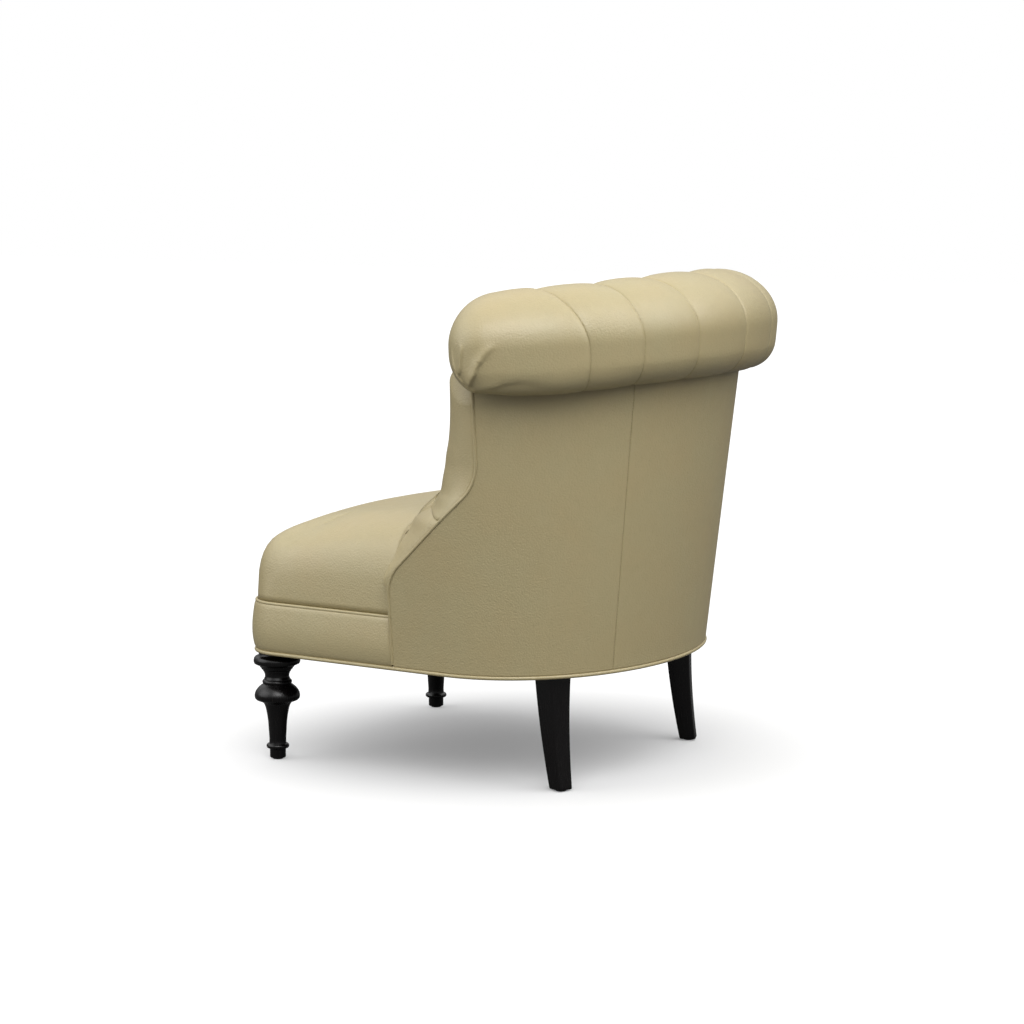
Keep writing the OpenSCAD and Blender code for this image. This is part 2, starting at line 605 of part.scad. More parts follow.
module seat_foam() {
    rings = concat([at_z(seat_plan(seat_in + cover_t), deck_top + lay_fit)],
                   seat_rings(seat_in + cover_t, cover_t, inner_steps, deck_top + 4));
    color(FOAM) seated() loft([for (r = rings) [for (p = r)
        [mix(p[0], seat_focus[0], foam_slack), mix(p[1], seat_focus[1], foam_slack), p[2] - lay_fit]]]);
}
function welt_path(i, z) = at_z(front_path(i, -side_seam_d + welt_r), z);
module seat_welt() {
    color(LEATHER) seated() loft(cord_rings(welt_path(4, seat_welt_z), welt_r - 0.8, 6, [0, 0, 1]));
}
// Border under the seat welt, bulging between its two welts
module front_border() {
    z0 = skirt_z + 2;
    z1 = seat_welt_z - welt_r + 0.4;
    n = 6;
    function row(k, t) = let (z = mix(z0, z1, k / n), bulge = border_bulge * sin(180 * pow(k / n, 0.8)))
        at_z(front_path((k == n ? 1 : 0) - bulge + t, -side_seam_d - welt_r), z);
    color(LEATHER) seated() sheet([for (k = [0:n]) row(k, 0)], [for (k = [0:n]) row(k, panel_t)]);
}
module base_welt() {
    path = at_z(outline(-0.5), skirt_z - welt_r + 1);
    color(LEATHER) seated() hoop(cord_rings(path, welt_r, 6, [0, 0, 1], true));
}
dust_in = 6;
module dust_cover() {
    color(CLOTH) seated() translate([0, 0, rail_z - dust_t]) linear_extrude(dust_t) difference() {
        polygon(outline(pad_gap + dust_in));
        for (x = [-1, 1]) {
            translate([x * front_leg_x, -front_leg_d]) circle(r = leg_neck_r + lay_fit, $fn = 48);
            translate([x * rear_top_x, rear_top_d]) rotate(x * -sabre_turn)
                square(sabre_top + 2 * lay_fit, center = true);
        }
    }
}

// Wing section: from the welt round the padded front edge to the inside
// Rows give height, how far the inner edge lies ahead of the welt, bulge and thickness
nose_table = [
    [swoop_z, 2, 3, 22], [330, 13, 13, 24], [352, 24, 10, 30], [370, 36, 11, 38], [385, 47, 15, 48],
    [411, 66, 20, 74], [430, 76, 26, back_t], [449, 70, 22, back_t], [470, 58, 38, back_t],
    [497, 48, 56, back_t], [524, 42, 60, back_t], [560, 38, 54, back_t], [690, 34, 47, back_t]];
function nose_row(z, i = 0) =
    let (a = nose_table[i], b = nose_table[i + 1])
    z < b[0] || i + 2 >= len(nose_table) ? mix(a, b, ease((z - a[0]) / (b[0] - a[0]))) : nose_row(z, i + 1);
// Point at angle b (0 at the welt, 180 inside) of the section at height z, t inside the surface
function nose(z, b, t) =
    let (n = nose_row(z), s = wall_s(swoop(z) - welt_room, z), p = wall(s, z), half = n[3] / 2)
    [p[0] - half + (half - t) * cos(b),
     p[1] - (n[2] - welt_room - t) * sin(b) - (n[1] - welt_room) * (1 - cos(b)) / 2, z];
welt_room = welt_r + lay_fit;
// Height of the crease between the arm band and the facing, at angle b of the section
crease_z = 434;
crease_rise = 13;
crease_turn = 110;
cover_low_z = 402;
function crease(b) = let (high = crease_z + crease_rise * ease(b / crease_turn))
    mix(high, cover_low_z, ease((b - crease_turn) / (180 - crease_turn)));
// Leather band over the arm, under the crease
band_t = 5;
band_low = 4;
module arm_band() {
    n = 9;
    function row(k, t) = [for (j = [0:n]) let (b = 180 * j / n)
        nose(mix(swoop_z - band_low, crease(b) - 4 * lay_fit, k / n), b, t)];
    color(LEATHER_IN) seated() sheet([for (k = [0:n]) row(k, 0)], [for (k = [0:n]) row(k, band_t)]);
}
module arm_band_right() { arm_band(); }
module arm_band_left() { mirror([1, 0, 0]) arm_band(); }

// Tufts: diamonds between buttons, running up as channels over the roll
function seam_s(u) = 90 + sign(u) * (channel_angle * abs(u) - channel_narrowing * pow(u, 2));
function tuft_u(s) =
    let (under = pow(channel_angle, 2) - 4 * channel_narrowing * abs(s - 90))
    sign(s - 90) * (channel_angle - sqrt(max(0, under)))
    / (2 * channel_narrowing);
function tuft_pull(u, v) =
    let (near = v > 0 ? abs(u - round(u)) : min(abs(u + v - round(u + v)), abs(u - v - round(u - v))))
    ease(7 - 2 * abs(u)) * (1 - pow(2 * near, 0.6));
tuft_fade_z = 430;
tuft_fade = 40;
function tuft(s, z) =
    tuft_depth * tuft_pull(tuft_u(s), (z - tuft_top_z) / (2 * tuft_row_h))
    * ease((z - tuft_fade_z) / tuft_fade);
// Where the cover ends at the top: along the seam under the roll and under its domed end
function under_roll(s, t) = roll_point(s, roll_to(s), t) - [0, 0, 4 * lay_fit];
function on_dome(p) =
    let (s = roll_end + roll_dome, c = roll_mid(s), r = roll_rad(s), n = roll_out(s),
         ahead = [n[1], -n[0], 0],
         d = p - c, h = d * n / r, v = d[2] / r,
         across = h > 0 && v < 0 ? pow(pow(h, roll_full) + pow(-v, roll_full), 1 / roll_full) : norm([h, v]),
         k = norm([max(0, d * ahead) / norm(c - roll_mid(roll_end)), across]))
    c + d * (1 + 3 * lay_fit / r) / k;
// Rows of the cover: two under the tufts, one at every half row of buttons, one over them and the top
plain_z = 450;
over_tufts = 24;
inside_rows = concat([cover_low_z, plain_z], [for (k = [4:-1:0]) tuft_top_z - k * tuft_row_h / 2],
                     [tuft_top_z + over_tufts]);
nose_cols = 9;
wing_top_z = 645;
wing_top_rise = 39;
function wing_top(b) = wing_top_z + wing_top_rise * ease(1 - cos(b));
function nose_z(row, b) = mix(crease(b) + 2 * lay_fit, wing_top(b), row / len(inside_rows));
function barrel_cols(s0) = let (s1 = seam_s(-15 / 4), ends = [for (k = [0:2]) mix(s0, s1, k / 3)])
    concat(ends, [for (k = [-15:15]) seam_s(k / 4)], [for (k = [2:-1:0]) 180 - ends[k]]);
function inside_row(row, t) =
    let (top = row == len(inside_rows),
         wing = [for (j = [0:nose_cols]) let (b = 180 * j / nose_cols)
             let (p = nose(nose_z(row, b), b, t)) top ? on_dome(p) : p],
         z = top ? 0 : inside_rows[row],
         s0 = top ? roll_end + roll_dome : wall_s(wing[nose_cols][1], z, back_t) + 4,
         barrel = [for (s = barrel_cols(s0)) top ? under_roll(s, t) : wall(s, z, back_t - t - tuft(s, z))])
    concat(wing, barrel, flip_x(wing));
module inside_back_cover() {
    color(LEATHER_IN) seated() sheet([for (k = [0:len(inside_rows)]) inside_row(k, 0)],
                                     [for (k = [0:len(inside_rows)]) inside_row(k, cover_t)]);
}
// Covered buttons, three staggered rows, each with a coned back that fills its tuft
module tuft_buttons() {
    r = button_d / 2;
    color(LEATHER_IN) seated() for (row = [0:2], k = [-3:3 - row % 2]) {
        s = seam_s(k + (row % 2) / 2);
        z = tuft_top_z - row * tuft_row_h;
        p = wall(s, z, back_t - tuft_depth + 3 * lay_fit);
        q = wall(s, z);
        translate(p) rotate([0, 90 - rear_lean, atan2(p[1] - q[1], p[0] - q[0])])
            rotate_extrude($fn = 32) polygon(concat([[0, 0]], arc(0, 0.85 * r, r, 5, 0, 90, 5)));
    }
}
// Foam behind the cover, wings included, from the tacking strip up to the roll
foam_rows = concat([liner_z + liner_h + 2, cover_low_z, plain_z],
                   [for (k = [2:-1:0]) tuft_top_z - k * tuft_row_h],
                   [tuft_top_z + over_tufts]);
foam_cols = 6;
foam_fit = 3;
foam_gap = 4;
foam_low_in = 14;
foam_plain_in = 5;
foam_side_in = 2;
foam_side_s = 35;
module inside_back_foam() {
    rows = len(foam_rows);
    i0 = cover_t + foam_fit;
    function wing_z(row, b) = mix(crease(b) + foam_gap, wing_top(b) - foam_gap, row / rows);
    function wing(row) = [for (j = [0:foam_cols])
        let (b = 180 * j / foam_cols, p = nose(wing_z(row, b), b, i0 + foam_gap))
        row == rows ? on_dome(p) - [0, 0, 2 * foam_fit] : p];
    function start(row, z) = row == rows ? roll_end + roll_dome : row == 0 ? wall_s(swoop(z) + 12, z, 40)
        : wall_s(wing(row)[foam_cols][1], z, back_t) + 5;
    function cols(s0) = let (s1 = seam_s(-7 / 2), ends = [for (k = [0:2]) mix(s0, s1, k / 3)])
        concat(ends, [for (k = [-7:7]) seam_s(k / 2)], [for (k = [2:-1:0]) 180 - ends[k]]);
    function side_in(s) = min(s, 180 - s) < foam_side_s ? foam_side_in : 0;
    function depth(row, s, z) = back_t - i0
        - (row == 0 ? foam_low_in : z == plain_z ? foam_plain_in : max(tuft(s, z), side_in(s)));
    function front(row) = let (z = row == rows ? 0 : foam_rows[row], side = wing(row))
        concat(side, [for (s = cols(start(row, z)))
            row == rows ? under_roll(s, i0) - [0, 0, foam_fit] : wall(s, z, depth(row, s, z))], flip_x(side));
    function side_back(row) = [for (j = [0:foam_cols])
        let (b = 180 * j / foam_cols, z = wing_z(row, b), i = mix(foam_gap, post_t + foam_gap, clamp(b / 90)),
             p = frame(wall_s(swoop(z) + 4, z) + max(0, b / 90 - 1), z, i))
        row == rows ? on_dome(p) - [0, 0, 2 * foam_fit] : p];
    function back(row) =
        let (z = row == rows ? 0 : foam_rows[row], side = side_back(row), all = cols(start(row, z)))
        concat(side, [for (j = [0:len(all) - 1])
            let (m = min(all[j], 180 - all[j]), least = wall_s(swoop(z) + 4, z) + 2 + min(j, len(all) - 1 - j),
                 s = all[j] > 90 ? 180 - max(m, least) : max(m, least))
            row == rows ? core_low(all[j], wall_off(all[j]) - pad_gap - post_t - foam_gap) - [0, 0, 2 * foam_fit]
                        : frame(s, z, post_t + foam_gap)], flip_x(side));
    color(FOAM) seated() sheet([for (r = [0:rows]) front(r)], [for (r = [0:rows]) back(r)]);
}
web_h = 50;
web_gap = 30;
web_t = 1.5;
module back_webbing() {
    z0 = liner_z + liner_h + web_gap;
    s0 = post_s + 1;
    color(JUTE) for (k = [0:2]) let (z = z0 + k * (web_h + web_gap))
        slab(s0, 180 - s0, z, z + web_h, post_t + lay_fit / 2, post_t + web_t, 20, 1);
}

// Roll cover: sections from the outside wall over the top to the inside cover
function dome_scale(s) = let (m = min(s, 180 - s) - roll_end, t = clamp(m / roll_dome))
    sqrt(max(0.002, 1 - pow(1 - t, 2)));
function channel(s) = let (u = abs(tuft_u(s)), e = abs(u - round(u)))
    u > 3.5 ? 0 : channel_depth * (1 - pow(clamp(2 * e), 0.5));
// The seams turn outwards over the crest, the outermost ones most
function turn(s) = let (m = min(s, 180 - s), last = seam_s(-3), dome = roll_end + roll_dome)
    (s > 90 ? -1 : 1) * seam_turn
    * (m < last ? clamp((m - dome) / (last - dome)) : pow((90 - m) / (90 - last), 2));
crest_a = 100;
crest_rate = 1.6;
function crest(a) =
    a < 0 ? 0 : a < crest_a ? pow(a / crest_a, crest_rate) : 1 - ease((a - crest_a) / crest_a);
function roll_point(seam, a, t) =
    let (s = seam - turn(seam) * crest(a), n = roll_out(s),
         r = dome_scale(s) * (roll_rad(s) - channel(seam) * ease((a - roll_from(s)) / 40)) - t)
    roll_mid(s) + r * (section(a)[0] * n + section(a)[1] * [0, 0, 1]);
dome_steps = [0.03, 0.8, 2.6, 6];
end_channel_s = 31;
function roll_steps() =
    let (end = concat([for (k = dome_steps) roll_end + k], [roll_end + roll_dome, end_channel_s]),
         inner = [for (k = [-3:3], h = [-1, 0, 1]) seam_s(k + h * 0.25)],
         between = [for (k = [-3:2]) seam_s(k + 0.5)],
         all = concat([for (k = [0:6], h = [0:3])
             let (v = inner[3 * k + min(h, 2)]) h < 3 ? v : between[min(k, 5)]]))
    concat(end, [for (k = [0:len(all) - 2]) all[k]], [for (k = [5:-1:0]) 180 - end[k]]);
module roll_cover() {
    n = 14;
    function row(s, t) = let (lim = min(t, 0.4 * dome_scale(s) * roll_r))
        [for (j = [0:n]) roll_point(s, mix(roll_from(s), roll_to(s), j / n), lim)];
    steps = roll_steps();
    color(LEATHER) seated() sheet([for (s = steps) row(s, 0)], [for (s = steps) row(s, roll_cover_t)]);
}
// Foam roll that fills its cover, ends included; underneath it lies flat on the crest rail
function core_low(s, off) = let (k = dome_scale(s), r = core_rad(s))
    roll_mid(s) + k * (off * roll_out(s) + [0, 0, under_z(s, r, off) - roll_mid_z(s)]);
module roll_core() {
    steps = roll_steps();
    n = 14;
    function lay(s) = roll_cover_t + (dome_scale(s) < 1 ? 1.3 : 0.6) * foam_fit;
    function low(s) = let (from = roll_from(s), to = roll_to(s) - 360) [for (k = [1, 2])
        mix(core_low(s, wall_off(s) - pad_gap - (k == 1 ? post_t + foam_gap : -1)),
            roll_point(s, mix(to, from, k / 3), lay(s)), dome_shut(s))];
    color(FOAM) seated() loft([for (k = [1:len(steps) - 2]) let (s = steps[k])
        concat([for (j = [0:n]) roll_point(s, mix(roll_from(s), roll_to(s), j / n), lay(s))], low(s))]);
}

// Outside back: three panels between the side welts
function panel_row(s0, s1, v, i, n) = [for (j = [0:n]) let (s = mix(s0, s1, j / n))
    wall(s, mix(skirt_z + 1, wall_top(s, i) - lay_fit, v), i)];
seam_gap = 0.05;
module outside_back_centre() {
    s0 = panel_seam + seam_gap;
    function grid(i) = [for (k = [0:4]) panel_row(s0, 180 - s0, k / 4, i, 12)];
    color(LEATHER) seated() sheet(grid(0), grid(panel_t));
}
module outside_back() {
    n = 16;
    function start(v) = let (z = mix(skirt_z + 1, wall_top(wing_s) - lay_fit, v))
        wall_s(swoop(z) + welt_r + lay_fit, z);
    function grid(i) = [for (k = [0:n]) panel_row(start(k / n), panel_seam - seam_gap, k / n, i, 8)];
    color(LEATHER) seated() sheet(grid(0), grid(panel_t));
}
module outside_back_right() { outside_back(); }
module outside_back_left() { mirror([1, 0, 0]) outside_back(); }
welt_top_z = 642;
module swoop_welt() {
    low = [skirt_z + 4, 250, 290];
    high = [welt_top_z - 72, welt_top_z - 32, welt_top_z];
    levels = concat(low, [for (k = [0:17]) mix(swoop_z, swoop_z3, k / 17)], high);
    path = [for (z = levels) wall(wall_s(swoop(z), z), z, 1.5)];
    color(LEATHER) seated() loft(cord_rings(path, welt_r - 1.2, 6, [1, 0, 0]));
}
module swoop_welt_right() { swoop_welt(); }
module swoop_welt_left() { mirror([1, 0, 0]) swoop_welt(); }

front_leg_left();
front_leg_right();
rear_leg_left();
rear_leg_right();
nail_glides();
hanger_bolts();
corner_blocks();
front_rail();
side_rail_left();
side_rail_right();
back_rail();
wing_post_left();
wing_post_right();
back_posts();
crest_rail();
liner_rail();
arm_board_left();
arm_board_right();
seat_springs();
spring_clips();
deck_cloth();
seat_foam();
seat_cover();
seat_welt();
front_border();
base_welt();
dust_cover();
back_webbing();
inside_back_foam();
inside_back_cover();
tuft_buttons();
roll_core();
roll_cover();
arm_band_left();
arm_band_right();
outside_back_centre();
outside_back_left();
outside_back_right();
swoop_welt_left();
swoop_welt_right();
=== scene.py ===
"""Looks of a leather slipper chair with a tufted barrel back and a rolled top.

X runs across the chair, the sitter faces -Y and Z is height above the floor. Shapes are worked out
in millimetres and angles in degrees; angles along the barrel run from 0 at the right side over 90
at the centre back to 180. Meshes are made in metres.
"""

import math
from types import SimpleNamespace

import bpy
import numpy as np
from mathutils import Matrix, Vector


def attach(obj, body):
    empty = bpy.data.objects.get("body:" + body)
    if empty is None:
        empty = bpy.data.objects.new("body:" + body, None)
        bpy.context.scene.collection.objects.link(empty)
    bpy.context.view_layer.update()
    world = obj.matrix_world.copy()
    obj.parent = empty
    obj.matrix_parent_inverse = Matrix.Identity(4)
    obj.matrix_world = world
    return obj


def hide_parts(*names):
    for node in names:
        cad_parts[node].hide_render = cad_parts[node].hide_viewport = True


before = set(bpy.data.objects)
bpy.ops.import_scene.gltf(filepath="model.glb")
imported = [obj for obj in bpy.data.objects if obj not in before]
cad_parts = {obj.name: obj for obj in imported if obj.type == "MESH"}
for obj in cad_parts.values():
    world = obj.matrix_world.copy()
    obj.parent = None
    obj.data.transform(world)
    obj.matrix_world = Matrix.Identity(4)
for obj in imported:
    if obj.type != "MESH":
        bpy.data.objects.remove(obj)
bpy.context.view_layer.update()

bl_info = {
    "name": "Leather slipper chair",
    "version": (1, 0, 0),
    "blender": (4, 5, 0),
    "location": "3D View > Sidebar > Chair",
    "description": "Covers, piping, tufts and legs of a slipper chair round its packed frame",
    "category": "Add Mesh",
}

MM = 0.001
REAR_CURVE_Y = 35.42  # the body stands with the middle of its box over the origin
SIDES = (("right", 1), ("left", -1))  # name of each side and the sign of its x


# Sizes and colours

def length(name, text, mm):
    return bpy.props.FloatProperty(name=name, description=text, default=mm * MM, unit="LENGTH", precision=4)


def angle(name, text, degrees):
    return bpy.props.FloatProperty(name=name, description=text, default=math.radians(degrees),
                                   unit="ROTATION")


def factor(name, text, value):
    return bpy.props.FloatProperty(name=name, description=text, default=value, subtype="FACTOR")


def count(name, text, value):
    return bpy.props.IntProperty(name=name, description=text, default=value, min=1)


def linear(code):
    """Linear colour, with alpha, of an sRGB hex code."""
    parts = [int(code[i:i + 2], 16) / 255 for i in (1, 3, 5)]
    return (*[c / 12.92 if c <= 0.04045 else ((c + 0.055) / 1.055) ** 2.4 for c in parts], 1.0)


def colour(name, text, code):
    return bpy.props.FloatVectorProperty(name=name, description=text, default=linear(code)[:3],
                                         subtype="COLOR", min=0, max=1)


class ChairBody(bpy.types.PropertyGroup):
    base_half_w: length("Half width", "Half width of the body at the bottom of its walls", 325)
    base_rear_d: length("Rear depth", "Depth of the curved rear half at the bottom of the walls", 240)
    front_d: length("Front depth", "Distance from the start of the rear curve to the front edge", 416)
    front_bow: length("Front bow", "Forward bow of the front edge at its middle", 6)
    corner_r: length("Front corners", "Radius of the two front corners", 70)
    skirt_z: length("Bottom of the walls", "Height of the bottom of the walls", 192)
    side_lean: angle("Side lean", "Outward lean of the side walls", 5.3)
    rear_lean: angle("Rear lean", "Backward lean of the rear wall", 7.2)
    curve_lean: angle("Curve drift", "Forward drift of the start of the curve with height", 2.5)
    side_taper: angle("Side taper", "Inward taper of the straight sides towards the front", 3.15)
    plan_power: factor("Plan fullness", "Fullness of the rear curve, 2 being an ellipse", 2.05)
    side_seam_d: length("Side seam", "Place of the side seam ahead of the start of the curve", 109)
    wing_d: length("Wing seam", "Place of the wing piping behind the start of the curve", 62)
    swoop_z: length("Swoop start", "Height at which the side seam starts to swoop back", 305)
    swoop_slope: angle("Swoop slope", "Steepest backward slope of the swoop", 47)
    swoop_low_r: length("Lower bend", "Radius of the lower bend of the swoop", 70)
    swoop_high_r: length("Upper bend", "Radius of the upper bend of the swoop", 80)
    back_t: length("Back thickness", "Thickness of the padded wings and of the back", 88)
    panel_seam: angle("Rear seams", "Angle of the two seams of the outside back from the sides", 60)


class ChairSeat(bpy.types.PropertyGroup):
    seat_welt_z: length("Seat piping", "Height of the seat piping", 270)
    seat_rise: length("Seat rise", "Height of the seat over its piping where the front rounds over", 132)
    seat_crown: length("Seat crown", "Further crown towards the middle of the seat", 28)
    seat_edge: length("Seat edge", "Width of the rounded seat edge", 100)
    seat_full: factor("Edge fullness", "Fullness of the rounded edge, 2 being a quarter circle", 3)
    border_bulge: length("Border bulge", "Bulge of the front border", 5)
    deck_z: length("Deck height", "Height of the top of the deck cloth over the springs", 280)
    swell: length("Swell", "Most that the filling may push the seat cover out", 5)


class ChairRoll(bpy.types.PropertyGroup):
    roll_half_w: length("Path half width", "Half width of the path that the middle of the roll follows", 354)
    roll_d: length("Path depth", "Depth of that path behind its centre", 290)
    roll_fwd: length("Path offset", "Forward offset of the centre of that path", 13)
    roll_z: length("Roll height", "Height of the middle of the roll at the centre back", 733.6)
    roll_drop: length("End drop", "Drop of the roll from the centre back to its ends", 20.6)
    roll_r: length("Roll radius", "Radius of the roll at the centre back", 83.8)
    roll_slim: length("End slimming", "Loss of that radius at the ends", 3.5)
    roll_lean: length("Crest lean", "Distance of the crest of the roll ahead of its middle", 17)
    roll_full: factor("Lower fullness", "Fullness of the lower rear of the roll, 2 being round", 3)
    roll_end: angle("Roll end", "Angle at which each end of the roll stops", 7.5)
    roll_dome: angle("Domed end", "Length of the domed end along the path", 12)
    channel_angle: angle("Channel pitch", "Angle between the channel seams at the centre back", 19.2)
    channel_narrowing: angle("Channel narrowing",
                             "Half the loss of that angle from one channel to the next", 1.2)
    channel_depth: length("Channel depth", "Depth of a channel seam", 7)
    tuft_top_z: length("Top buttons", "Height of the top row of buttons", 640)
    tuft_row_h: length("Button rows", "Height between two rows of buttons", 72)
    tuft_depth: length("Tuft depth", "Depth of the tufts", 16)
    button_d: length("Button", "Diameter of a covered button", 20)


class ChairTrim(bpy.types.PropertyGroup):
    welt_r: length("Piping radius", "Radius of the piping under the seat and along the arms", 2.7)
    base_welt_r: length("Base piping radius", "Radius of the piping round the bottom edge", 3.3)
    welt_sides: count("Piping sides", "Sides of the round piping", 12)
    stitch_gap: length("Stitch spacing", "Distance from one stitch to the next", 4.5)
    stitch_len: length("Stitch length", "Length of one stitch", 3.2)
    stitch_r: length("Thread radius", "Radius of the sewing thread", 0.5)
    leather: colour("Leather", "Colour of the leather", "#b4a67c")
    black: colour("Black lacquer", "Colour of the lacquered legs", "#040303")


class ChairLegs(bpy.types.PropertyGroup):
    front_leg_x: length("Front legs across", "Place of the front legs across the chair", 252.7)
    front_leg_d: length("Front legs ahead", "Place of the front legs ahead of the start of the curve", 376.5)
    rear_foot_x: length("Rear feet across", "Place of the rear feet across the chair", 226)
    rear_foot_d: length("Rear feet back", "Place of the rear feet behind the start of the curve", 148)
    sabre_sweep: length("Sabre sweep", "Backward sweep of a rear leg from its top to its foot", 18)
    sabre_splay: length("Sabre splay", "Outward sweep of a rear leg", 5)
    sabre_top: length("Leg top", "Side of a rear leg at the top", 43)
    sabre_foot: length("Leg foot", "Side of a rear leg at the foot", 27)
    sabre_turn: angle("Leg turn", "Turn of a rear leg about its own axis", 20)
    edge_r: length("Leg edge", "Rounding of the edges of a rear leg", 3)
    glide_h: length("Glide height", "Height of the glides under the feet", 2.5)


GROUPS = {"chair_body": ChairBody, "chair_seat": ChairSeat, "chair_roll": ChairRoll,
          "chair_trim": ChairTrim, "chair_legs": ChairLegs}


def own_props(group):
    """The sizes and colours that a property group holds."""
    return [prop for prop in group.bl_rna.properties if prop.identifier not in ("rna_type", "name")]


def sizes():
    """All sizes of the property groups as plain numbers, in millimetres and degrees."""
    found = {}
    for key in GROUPS:
        group = getattr(bpy.context.scene, key)
        for prop in own_props(group):
            value = getattr(group, prop.identifier)
            scale = {"LENGTH": 1000, "ROTATION": math.degrees(1)}.get(prop.unit, 1)
            found[prop.identifier] = value if prop.subtype == "COLOR" else value * scale
    return SimpleNamespace(**found)


# Shapes of the chair

def cosd(a):
    return np.cos(np.radians(a))


def sind(a):
    return np.sin(np.radians(a))


def tand(a):
    return math.tan(math.radians(a))


def mix(a, b, t):
    return a + (b - a) * t


def ease(t):
    u = np.clip(t, 0, 1)
    return u * u * (3 - 2 * u)


def points(x, y, z):
    """One array of points from their coordinates, any of which may be a single number."""
    return np.stack(np.broadcast_arrays(x, y, z), axis=-1).astype(float)


def through(x, xs, ys):
    """Smooth curve through the points (xs, ys)."""
    xs, ys = np.asarray(xs, float), np.asarray(ys, float)
    slope = np.gradient(ys, xs)
    k = np.clip(np.searchsorted(xs, x) - 1, 0, len(xs) - 2)
    h = xs[k + 1] - xs[k]
    t = np.clip((x - xs[k]) / h, 0, 1)
    return ((2 * t ** 3 - 3 * t ** 2 + 1) * ys[k] + (t ** 3 - 2 * t ** 2 + t) * h * slope[k]
            + (3 * t ** 2 - 2 * t ** 3) * ys[k + 1] + (t ** 3 - t ** 2) * h * slope[k + 1])


def along(path, n, closed=False):
    """The path resampled to n even steps."""
    path = np.asarray(path, float)
    if closed:
        path = np.vstack([path, path[:1]])
    run = np.concatenate([[0], np.cumsum(np.linalg.norm(np.diff(path, axis=0), axis=1))])
    at = np.linspace(0, run[-1], n + 1)[:n if closed else n + 1]
    return np.stack([np.interp(at, run, path[:, k]) for k in range(path.shape[1])], axis=1)


def fine_ends(n, fine=0.15):
    """Steps from 0 to 1 that lie closer together at both ends."""
    t = np.linspace(0, 1, n + 1)
    return mix(t, t * t * (3 - 2 * t), 1 - fine)


